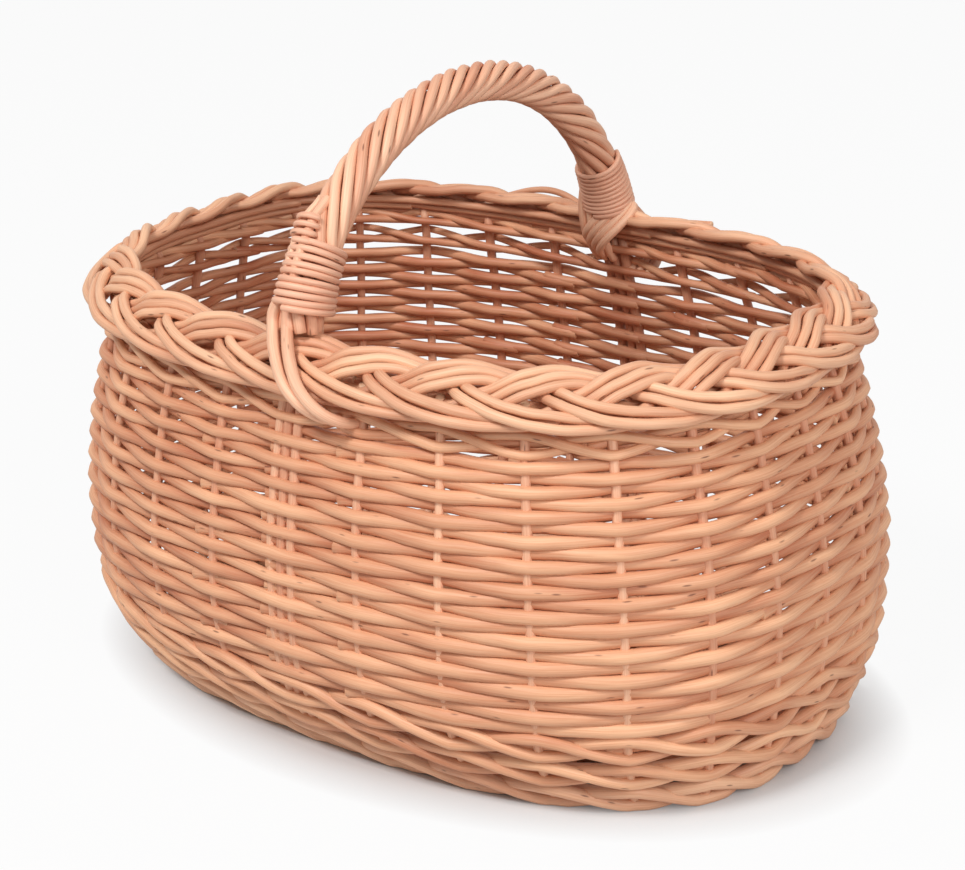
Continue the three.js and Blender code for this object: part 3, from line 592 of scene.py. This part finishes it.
for n, centre in enumerate(LOWER_WALE_CENTRES):
    name = f"lower_wale_{n + 1}"
    lay(name + "_rods", waling(centre, WALE_HALF_RISE, WALE_DIAMETER, 0.09), [name],
        weaver_willow)
upper_rods = (waling(UPPER_WALE_CENTRE, UPPER_WALE_HALF_RISE, UPPER_WALE_DIAMETER, 0.1)
              + waling(TOP_WALE_CENTRE, TOP_WALE_HALF_RISE, TOP_WALE_DIAMETER, 0.1))
lay("upper_wale_rods", upper_rods, ["upper_wale"], weaver_willow)

# The foot's rods stand on the floor
foot_rods = waling(FOOT_CENTRE, FOOT_HALF_RISE, FOOT_ROD_DIAMETER, 0.06)
for each in foot_rods:
    each["points"][:, 2] = np.maximum(each["points"][:, 2], each["radius"])
lay("foot_border_rods", foot_rods, ["foot_border"], border_willow)


# Border: a plait of four strands, with one group of rods for each stake. A strand crosses the border
# outwards as two rods, turns under its outer edge, comes back as three and turns under its inner edge.

# A strand's turn is four groups long. For its steps along the turn, its place from the outer edge (-1)
# to the inner (1)
SWAY = [(0.0, 0.05), (0.4, -0.46), (0.7, -0.66), (1.0, -0.76), (1.4, -0.81), (1.75, -0.72),
        (2.07, -0.36), (2.37, -0.02), (2.7, 0.36), (3.0, 0.64), (3.4, 0.79), (3.8, 0.42)]
# The same for its height: 1 is over another strand and -1 is under one
RIDE = [(0.12, 1), (0.9, 1), (1.65, -1), (2.27, -1), (2.68, 1), (2.92, 1), (3.6, -1), (3.85, -1)]
TURN = 4


def through(where, knots, flowing=True):
    """A smooth curve through knots that come round again; without flowing it rests at each knot."""
    at = np.concatenate([[knot[0] + turn * TURN for knot in knots] for turn in (-1, 0, 1, 2)])
    value = np.tile([float(knot[1]) for knot in knots], 4)
    slope = np.gradient(value, at) * flowing
    where = np.mod(where, TURN)
    n = np.searchsorted(at, where, side="right") - 1
    gap = at[n + 1] - at[n]
    t = (where - at[n]) / gap
    return ((1 + 2 * t) * (1 - t) ** 2 * value[n] + t * (1 - t) ** 2 * gap * slope[n]
            + t * t * (3 - 2 * t) * value[n + 1] + t * t * (t - 1) * gap * slope[n + 1])


def ribbon(place, inwards, lift):
    """Points on the border, from its middle line inwards and off its face."""
    angle = angle_at(arc_of(np.mod(place, UPRIGHTS)))
    point = plan(BORDER_HALF_LENGTH, BORDER_HALF_WIDTH, angle)
    normal = plan_normal(BORDER_HALF_LENGTH, BORDER_HALF_WIDTH, point)
    rise = np.where(point[:, 0] < 0, BORDER_RISE_LEFT, BORDER_RISE_RIGHT)
    height = (BORDER_CENTRE + rise * (point[:, 0] / RIM_HALF_LENGTH) ** 2
              + BORDER_RISE_BACK * np.clip(point[:, 1] / BORDER_HALF_WIDTH, 0, 1) ** 2)
    turned = np.sign(inwards) * np.clip((np.abs(inwards) - BORDER_FLAT) / BORDER_ROLL, 0, 1.5)
    across = np.clip(inwards, -BORDER_FLAT, BORDER_FLAT) + (BORDER_ROLL + lift) * np.sin(turned)
    out = lift * np.cos(turned) - BORDER_ROLL * (1 - np.cos(turned))
    steep, level = math.sin(BORDER_TILT), math.cos(BORDER_TILT)
    moved = point + normal * (out * steep - across * level)[:, None]
    return np.hstack([moved, (height + across * steep + out * level)[:, None]])


def ramp(value, low, high):
    """A smooth rise from 0 at low to 1 at high."""
    share = np.clip((value - low) / (high - low), 0, 1)
    return share * share * (3 - 2 * share)


STEP_SPACING = 0.06
CREST_STEP, CREST_LENGTH = 2.85, 0.4
# Between which steps a strand opens to three rods and closes to two, and how its edges squeeze the lanes
OPENS, CLOSES = (1.95, 2.3), (3.65, 4.15)
EDGE_SQUEEZE = 0.16
END_LENGTH, END_DIP = 0.4, 0.8


def strand_rod(group, begin, end, trio_lane, pair_lane, diameter, start_dip):
    """One rod of a strand, from the step begin to end of its turn.

    Its lanes, from the middle of the strand, are the ones in which it comes in as one of three and
    goes out as one of two.
    """
    step = np.arange(begin, end, STEP_SPACING)
    place = FIRST_GROUP + (group + step) * UPRIGHTS / GROUPS
    back = np.clip(np.sin(angle_at(arc_of(np.mod(place, UPRIGHTS)))), 0, 1) ** 0.5
    inwards = BORDER_SWAY * through(step, SWAY)
    inwards = inwards + FULLER_BACK * back * np.exp(-((np.mod(step, TURN) - CREST_STEP) / CREST_LENGTH) ** 2)
    step_length = GIRTH / GROUPS
    steep = np.gradient(inwards, step) / step_length
    trio = ramp(step, *OPENS) * (1 - ramp(step, *CLOSES))
    edge = np.clip(np.abs(inwards) / (0.8 * BORDER_SWAY), 0, 1) ** 2
    lane = (pair_lane + (trio_lane - pair_lane) * trio) * BORDER_LANE * (1 - EDGE_SQUEEZE * edge)
    lane = lane + ripple(step * step_length, 0.28, 90)
    place = place - steep / np.hypot(1, steep) * lane * UPRIGHTS / GIRTH
    lift = BORDER_LIFT * (1 - FLATTER_BACK * back) * through(step, RIDE, False)
    lift = lift + ripple(step * step_length, 0.3, 90)
    lift = (lift - start_dip * (1 - ramp(step, begin, begin + END_LENGTH))
            - END_DIP * ramp(step, end - END_LENGTH, end))
    # Tone is random per rod, plus painted shade where the strand runs under another
    tones_and_painted_light = np.clip(dice.random() * 0.6 + 0.16 * (1 - through(step, RIDE)), 0, 1)
    return rod(ribbon(place, inwards + lane / np.hypot(1, steep), lift), diameter, diameter * 0.97, tones_and_painted_light)


# Two rods go all the way; the third comes in with them and is cut off under the inner edge
LONG_ROD_STEPS, SHORT_ROD_STEPS = (1.78, 5.86), (2.02, 3.66)
border_rods = []
for group in range(GROUPS):
    shift = group + dice.uniform(-0.03, 0.03)
    size = BORDER_ROD_DIAMETER * dice.uniform(0.97, 1.04)
    border_rods.append(strand_rod(shift, *LONG_ROD_STEPS, 1.0, 0.5, size * dice.uniform(0.95, 1.04), 1.0))
    border_rods.append(strand_rod(shift, *LONG_ROD_STEPS, 0.0, -0.5, size * dice.uniform(0.95, 1.04), 1.0))
    border_rods.append(strand_rod(shift, *SHORT_ROD_STEPS, -1.0, -1.0, size * dice.uniform(0.92, 1.02), 2.6))
# The ends of rods run along under the border's inner side, in three lanes of five
UNDER_LANES = ((6.5, -7.0), (1.0, -8.2), (-4.5, -9.0))
UNDER_RODS = 5
UNDER_ROD_PLACES, UNDER_ROD_OVERLAP = UPRIGHTS / UNDER_RODS, 0.5
for inwards, lift in UNDER_LANES:
    for n in range(UNDER_RODS):
        place = np.linspace(n * UNDER_ROD_PLACES + inwards / 3,
                            (n + 1) * UNDER_ROD_PLACES + UNDER_ROD_OVERLAP + inwards / 3, 70)
        bowed = ripple(place * GIRTH / UPRIGHTS, 0.9, 160)
        line = ribbon(place, inwards + bowed, lift + 1.6 * ramp(place, place[-12], place[-1]))
        # Their deep tones are painted shade under the border's inner side
        border_rods.append(rod(line, 4.7, 4.1, 0.5 + 0.5 * dice.random()))
# A loose rod stands up off the back in an arch, and the tip of another sticks up
loose = np.linspace(0, 1, 30)
line = ribbon(14.55 + 1.3 * loose, 2 - 4 * loose, 3.5 + 7.5 * np.sin(math.pi * loose))
border_rods.append(rod(line, 3.9, 3.3, 0.7))
loose = loose[:12]
line = ribbon(13.4 - 2.0 * loose, 1 + 3 * loose, 3 + 9 * loose)
border_rods.append(rod(line, 4.2, 3.8, 0.6))
lay("border_plait_rods", border_rods, ["border_plait"], border_willow, 12)


# Base: sticks crossed in the middle and fanned out at both ends. Two rods side by side are wound round
# them from the middle outwards, over one stick and under the next.

BASE_EDGE_GAP = STAKE_LINE_INSET + 5.4
BASE_STICK_END_GAP = 4.6
base_half_length = float(wall_halves(BASE_CENTRE)[0]) - BASE_EDGE_GAP
base_half_width = float(wall_halves(BASE_CENTRE)[1]) - BASE_EDGE_GAP
BASE_SPINE = base_half_length - base_half_width


# How much a stick is opened where the long sticks go through it
CROSS_SWELL, FAN_SWELL = 0.4, 0.3
SWELL_ENDS = (6, 14)


def spoke(x, side, angle):
    """A spoke leaves the base's long middle line at x; its angle is from that line's end on one side."""
    return np.array([x, 0.0]), np.array([side * math.cos(angle), math.sin(angle)])


def cross_stick_place(n):
    """How far along the base's middle line cross stick n lies."""
    return BASE_SPINE * (1 - 2 * n / (BASE_CROSS_STICKS - 1))


def stick_tip(foot, way):
    """The end of the stick on a spoke, just inside the wall."""
    reach = np.linspace(0, base_half_length, 2000)
    spots = np.abs(foot + way * reach[:, None]) / (base_half_length, base_half_width)
    inside = spots[:, 0] ** PLAN_POWER + spots[:, 1] ** PLAN_POWER < 1
    return foot + way * (reach[inside][-1] - BASE_STICK_END_GAP)


def base_stick(corners, swell=0.0):
    """A stick through its corners. A cross stick is split open where the long sticks go through it."""
    corners = np.array([[x, y, BASE_CENTRE] for x, y in corners])
    along = travelled(corners)
    even = np.linspace(0, along[-1], int(along[-1] / 4))
    line = np.stack([np.interp(even, along, corners[:, k]) for k in range(3)], -1)
    line[1:-1] = (line[:-2] + 2 * line[1:-1] + line[2:]) / 4
    each = rod(line, BASE_STICK_DIAMETER, BASE_STICK_DIAMETER * 0.94)
    each["radius"] = each["radius"] * (1 + swell * (1 - ramp(np.abs(line[:, 1]), *SWELL_ENDS)))
    return each


long_bend = BASE_SPINE + BASE_STICK_PITCH / math.tan(BASE_FAN)
cross_bend = BASE_STICK_PITCH * math.tan(2 * BASE_FAN)
stick_rods = [base_stick([stick_tip(*spoke(-BASE_SPINE, -1, 0)), stick_tip(*spoke(BASE_SPINE, 1, 0))])]
for n in range(BASE_CROSS_STICKS):
    x = cross_stick_place(n)
    tips = [stick_tip(*spoke(x, 1, way * math.pi / 2)) for way in (-1, 1)]
    stick_rods.append(base_stick(tips, CROSS_SWELL))
for side in (-1, 1):
    y = side * BASE_STICK_PITCH
    tips = [stick_tip(*spoke(way * BASE_SPINE, way, side * BASE_FAN)) for way in (-1, 1)]
    stick_rods.append(base_stick([tips[0], (-long_bend, y), (long_bend, y), tips[1]]))
    x = side * (BASE_SPINE + BASE_STICK_PITCH)
    tips = [stick_tip(*spoke(side * BASE_SPINE, side, way * 2 * BASE_FAN)) for way in (-1, 1)]
    stick_rods.append(base_stick([tips[0], (x, -cross_bend), (x, cross_bend), tips[1]], FAN_SWELL))
lay("base_sticks_rods", stick_rods, ["base_sticks"], base_willow)

spokes = []
for side in (1, -1):
    for n in range(BASE_FAN_STICKS):
        spokes.append(spoke(side * BASE_SPINE, side, side * (n - (BASE_FAN_STICKS - 1) / 2) * BASE_FAN))
    for n in range(BASE_CROSS_STICKS):
        spokes.append(spoke(side * cross_stick_place(n), 1, side * math.pi / 2))

BASE_PRESS = 1.2
# The rods are drawn to the end of each spoke by its length in half widths, and this is a usual one
USUAL_SPOKE = 0.955
base_start = BASE_STICK_PITCH + (BASE_STICK_DIAMETER + 2 * BASE_ROD_DIAMETER) / 2 - BASE_PRESS
base_pitch = 2 * BASE_ROD_DIAMETER + BASE_ROD_GAP
base_stops, base_sides, base_ways = [], [], []
over = 1
for n in range(BASE_ROUNDS * len(spokes) + 1):
    foot, way = spokes[n % len(spokes)]
    corner = np.linalg.norm(stick_tip(foot, way) - foot) / base_half_width
    spread = 1 + (corner - USUAL_SPOKE) * n / (BASE_ROUNDS * len(spokes))
    stop = foot + way * (base_start + n / len(spokes) * base_pitch) * spread
    stays_on = foot[0] == 0 and way[1] > 0
    if n > 0 and not stays_on and np.linalg.norm(stop - base_stops[-1]) > BASE_DIP_ROOM:
        over = -over
    base_stops.append(stop)
    base_sides.append(over)
    base_ways.append(way)


def base_pair_rod(lane):
    """One of the two rods, with its height eased from over one stick to under the next."""
    rise = (BASE_STICK_DIAMETER + BASE_ROD_DIAMETER) / 2 + 0.1
    knots = np.array([[*(stop + way * lane), BASE_CENTRE] for stop, way in zip(base_stops, base_ways)])
    line = []
    for n in range(len(knots) - 1):
        count = max(4, int(np.linalg.norm(knots[n + 1] - knots[n]) / 4.2))
        t = np.linspace(0, 1, count, endpoint=False)[:, None]
        part = catmull_rom(knots, n, t)
        ease = (0.5 - 0.5 * np.cos(math.pi * t))[:, 0]
        part[:, 2] += rise * (base_sides[n] + (base_sides[n + 1] - base_sides[n]) * ease)
        line.append(part)
    line = np.vstack(line)
    line[:, 2] += ripple(travelled(line), 0.15, 90)
    return rod(line, BASE_ROD_DIAMETER * 1.03, BASE_ROD_DIAMETER * 0.97)


lay("base_weave_rods", [base_pair_rod(lane * BASE_ROD_DIAMETER) for lane in (-0.52, 0.52)],
    ["base_weave"], base_willow, 8)


# Handle: rods roped round a bow, their ends brought down over the border

def arch(angle):
    """Points of the bow's middle line, and which way its outer side faces there."""
    point = np.stack([np.zeros_like(angle),
                      -HANDLE_HALF_SPAN * np.cos(angle) + HANDLE_SWAY * np.sin(angle) ** 2,
                      SPRING_HEIGHT + HANDLE_RISE * np.sin(angle)], -1)
    along = np.gradient(point, axis=0)
    along /= np.linalg.norm(along, axis=1, keepdims=True)
    return point, np.cross(np.array([1.0, 0, 0]), along)


handle_end = math.asin(HANDLE_ENDS_AT / HANDLE_RISE) - 0.02
bow_angle = np.linspace(handle_end, math.pi - handle_end, 150)
bow_point, bow_out = arch(bow_angle)
bow_length = travelled(bow_point)
shoulder = np.cos(bow_angle) ** 2
bow_diameter = CROWN_DIAMETER + (SHOULDER_DIAMETER - CROWN_DIAMETER) * shoulder
twist_rate = (1 - SLOWER_SHOULDER * shoulder) / CROWN_TWIST_LENGTH
twist = np.concatenate([[0], np.cumsum(twist_rate[1:] * np.diff(bow_length))])
# The bow's core takes the darkest tone, painted shade in the valleys between the roping rods
handle_rods = [rod(bow_point, BOW_CORE_DIAMETER, BOW_CORE_DIAMETER, 1.0)]
for n in range(ROPING_RODS):
    thick = ROPING_RADIUS + SHOULDER_SWELL * shoulder
    thick = thick * dice.uniform(0.95, 1.04) * (1 + ripple(bow_length, 0.03, 90))
    turn = 2 * math.pi * (n / ROPING_RODS - twist) + ripple(bow_length, 0.06, 150)
    ring = bow_diameter / 2 - thick + ripple(bow_length, 0.18, 80)
    points = bow_point + bow_out * (np.cos(turn) * ring)[:, None]
    points[:, 0] += np.sin(turn) * ring
    each = rod(points, 1, 1, dice.random() * 0.85)
    each["radius"] = thick
    handle_rods.append(each)


def on_bow(front, height, around, away):
    """Points beside the bow: their height, turn from the bow's outer side and distance from its middle."""
    angle = np.arcsin(np.clip((height - SPRING_HEIGHT) / HANDLE_RISE, 0, 1))
    angle = angle if front else math.pi - angle
    point, out = arch(angle)
    point = point + out * (np.cos(around) * away)[:, None]
    point[:, 0] += np.sin(around) * away
    return point


def tail(knots, butt=6.1, tip=5.6):
    """A rod of the handle that goes down to the wall through the knots."""
    return rod(smooth_path(knots), butt, tip, dice.random() * 0.7)


# Over the front of the border, fanned to the right and tucked in under the upper wale
for lane in (0, 9):
    route = [(-8, 121, 246), (-9.5, 125, 238), (-11.5, 129, 231), (-10, 132, 225), (-2, 140.5, 216),
             (10.5, 149.5, 206), (22, 151.5, 198), (29, 145, 191), (32, 132, 186)]
    handle_rods.append(tail([(x + lane * (0.6 if z > 235 else 1), -y, z) for x, y, z in route]))
# Down the inside, and in behind the upper wale
for x in (-11, -5, 1):
    handle_rods.append(tail([(x, -112, 247), (x, -112.5, 236), (x, -112.5, 226), (x, -114, 214), (x, -119, 203),
                             (x, -127, 192)], 5.4, 4.8))
# At the back: rods down the inside, crossed by four that come slanting from the binding's right side
for x in (-9.5, -4.4, 0.8):
    handle_rods.append(tail([(x, 116.5, 247), (x, 115, 236), (x, 113.2, 226), (x, 114.6, 214), (x, 119, 204),
                             (x, 127, 193)], 5.2, 4.8))
for n in range(4):
    route = np.array([(9, 129, 226), (14.5, 127, 224.5), (15.5, 122, 221.5), (12.5, 115.5, 215.5),
                      (7.5, 112, 209.5), (2.5, 113, 204), (-2, 118, 199), (-5, 127, 194)], float)
    handle_rods.append(tail(route + np.array([-3.0 * n, 0, 2.6 * n]), 4.9, 4.4))
for x in (-8, -2.5, 3.5):
    handle_rods.append(tail([(x, 121, 246), (x, 125, 238), (x, 129, 231), (x, 134, 226), (x + 1, 143, 217),
                             (x + 4, 151, 207), (x + 9, 152, 199), (x + 14, 145, 191), (x + 17, 132, 186)],
                            5.8, 5.2))
# Two short rods laid on the outer side of the front shoulder
short_heights = np.linspace(236, 274, 22)
for around in (0.02, -0.5):
    away = 11.8 - 2.4 * ramp(short_heights, 248, 238) - 3.0 * ramp(short_heights, 264, 274)
    line = on_bow(True, short_heights, around, away)
    handle_rods.append(rod(line, 5.2, 4.4, dice.random() * 0.6))
lay("handle_bow_rods", handle_rods, ["handle_bow"], handle_willow, 12)


# Bindings: a thin rod wound round each shoulder

def binding_line(front, low, high, turns, wide, deep):
    """Turns from low to high on the bow; wide and deep are their half sizes at the bottom and the top."""
    around = np.linspace(0, turns, int(turns * 30))
    share = around / turns
    height = low + share * (high - low) + ripple(around, 0.25, 1.7)
    turn = 2 * math.pi * around
    half_wide = wide[0] + (wide[1] - wide[0]) * share
    half_deep = deep[0] + (deep[1] - deep[0]) * share
    middle = on_bow(front, height, 0.0, np.zeros_like(height))
    rim = on_bow(front, height, 0.0, np.ones_like(height)) - middle
    line = middle + rim * (np.cos(turn) * half_deep)[:, None]
    line[:, 0] += np.sin(turn) * half_wide
    return line


def short_turns():
    """Three small turns round the two short rods alone."""
    around = np.linspace(0, 3.2, 90)
    turn = 2 * math.pi * around
    height = 256.5 + 2.9 * around
    return on_bow(True, height, -0.24 + 0.56 * np.sin(turn), 11.2 + 4.2 * np.cos(turn))


front_rods = [rod(binding_line(True, 231, 259, 9.6, (13.3, 12.0), (14.6, 12.6)), 3.4, 3.1, 0.3),
              rod(short_turns(), 3.1, 2.9, 0.2)]
lay("binding_front_rods", front_rods, ["binding_front"], binding_willow)
back_rods = [rod(binding_line(False, 224, 250.5, 10.4, (13.0, 11.6), (13.6, 11.8)), 3.0, 2.7, 0.35)]
lay("binding_back_rods", back_rods, ["binding_back"], binding_willow)


# Floor, light and camera, in metres

FLOOR_RADIUS, FLOOR_GREY, FLOOR_WHITE = 14, 0.66, 0.93
# The floor turns white round this outline of the foot, so that the base's gaps stay dark
SHADE_HALF_LENGTH, SHADE_HALF_WIDTH = 0.206, 0.134
SHADE_ENDS = (0.97, 1.2)
# Each lamp's place, what it points at, its power and its size
KEY = ((-0.1, -1.9, 2.6), (0, 0, 0.14), 58, 0.7)
FILL = ((2.2, -0.8, 1.5), (0, 0, 0.12), 28, 1.0)
SKY_LIGHT = 0.35
AZIMUTH, ELEVATION, ROLL = math.radians(39.5), math.radians(21.7), math.radians(2.3)
CAMERA_DISTANCE, CAMERA_AIM = 1.2232, (0, 0, 0.1096)
LENS_LENGTH, SENSOR_WIDTH = 86.9, 36
SHIFT_X, SHIFT_Y = 0.0083, 0.0367


def studio_floor():
    """A pale floor that takes the shadow and looks white to the camera away from the foot."""
    shape = bmesh.new()
    bmesh.ops.create_circle(shape, cap_ends=True, segments=64, radius=FLOOR_RADIUS)
    mesh = bpy.data.meshes.new("floor")
    shape.to_mesh(mesh)
    shape.free()
    floor = bpy.data.objects.new("floor", mesh)
    bpy.context.collection.objects.link(floor)
    paint = Surface("studio floor")
    paint.set(Base_Color=(FLOOR_GREY, FLOOR_GREY, FLOOR_GREY, 1), Roughness=0.9, Specular_IOR_Level=0.0)
    to_camera = paint.add("ShaderNodeLightPath", output="Is Camera Ray")
    glow = paint.add("ShaderNodeEmission", {}, {"Color": (1, 1, 1, 1), "Strength": 1.0})
    spot = paint.add("ShaderNodeTexCoord", output="Object")
    away = paint.add("ShaderNodeVectorMath", {"operation": "MULTIPLY"},
                     {0: spot, 1: (1 / SHADE_HALF_LENGTH, 1 / SHADE_HALF_WIDTH, 0)})
    distance = paint.add("ShaderNodeVectorMath", {"operation": "LENGTH"}, {0: away}, "Value")
    beyond_foot = distance.between(*SHADE_ENDS)
    mixed = paint.add("ShaderNodeMixShader", {}, {0: to_camera * beyond_foot * FLOOR_WHITE,
                                                  1: Signal(paint, paint.shader.outputs[0]), 2: glow})
    paint.feed(paint.tree.nodes["Material Output"].inputs["Surface"], mixed)
    mesh.materials.append(paint.material)


def lamp(name, place, aim, power, size):
    light = bpy.data.lights.new(name, "AREA")
    light.energy = power
    light.size = size
    holder = bpy.data.objects.new(name, light)
    bpy.context.collection.objects.link(holder)
    way = Vector(aim) - Vector(place)
    holder.matrix_world = Matrix.Translation(place) @ way.to_track_quat("-Z", "Y").to_matrix().to_4x4()


def open_sky(strength):
    """White to the camera, in reflections and through glass, and a plain even light on the rest."""
    world = bpy.data.worlds.new("studio")
    bpy.context.scene.world = world
    world.use_nodes = True
    tree = world.node_tree
    back = tree.nodes["Background"]
    path = tree.nodes.new("ShaderNodeLightPath")
    most = None
    for ray in ("Is Camera Ray", "Is Glossy Ray", "Is Transmission Ray"):
        if most is None:
            most = path.outputs[ray]
            continue
        step = tree.nodes.new("ShaderNodeMath")
        step.operation = "MAXIMUM"
        tree.links.new(most, step.inputs[0])
        tree.links.new(path.outputs[ray], step.inputs[1])
        most = step.outputs[0]
    level = tree.nodes.new("ShaderNodeMapRange")
    level.inputs["To Min"].default_value = strength
    level.inputs["To Max"].default_value = 1.0
    tree.links.new(most, level.inputs["Value"])
    back.inputs["Color"].default_value = (1, 1, 1, 1)
    tree.links.new(level.outputs[0], back.inputs["Strength"])


def set_up_camera():
    """The camera at the photograph's angle, rolled a little about its own axis."""
    back = Vector((math.sin(AZIMUTH) * math.cos(ELEVATION), -math.cos(AZIMUTH) * math.cos(ELEVATION),
                   math.sin(ELEVATION)))
    right = Vector((math.cos(AZIMUTH), math.sin(AZIMUTH), 0))
    up = back.cross(right)
    right_rolled = right * math.cos(ROLL) - up * math.sin(ROLL)
    up_rolled = right * math.sin(ROLL) + up * math.cos(ROLL)
    lens = bpy.data.cameras.new("camera")
    lens.lens = LENS_LENGTH
    lens.sensor_width = SENSOR_WIDTH
    lens.sensor_fit = "HORIZONTAL"
    lens.shift_x, lens.shift_y = SHIFT_X, SHIFT_Y
    lens.clip_end = 60
    camera = bpy.data.objects.new("camera", lens)
    bpy.context.collection.objects.link(camera)
    turned_to = Matrix((right_rolled, up_rolled, back)).transposed().to_4x4()
    camera.matrix_world = Matrix.Translation(Vector(CAMERA_AIM) + back * CAMERA_DISTANCE) @ turned_to
    return camera


studio_floor()
open_sky(SKY_LIGHT)
lamp("key", *KEY)
lamp("fill", *FILL)
bpy.context.scene.camera = set_up_camera()
bpy.context.scene.view_settings.view_transform = "Standard"
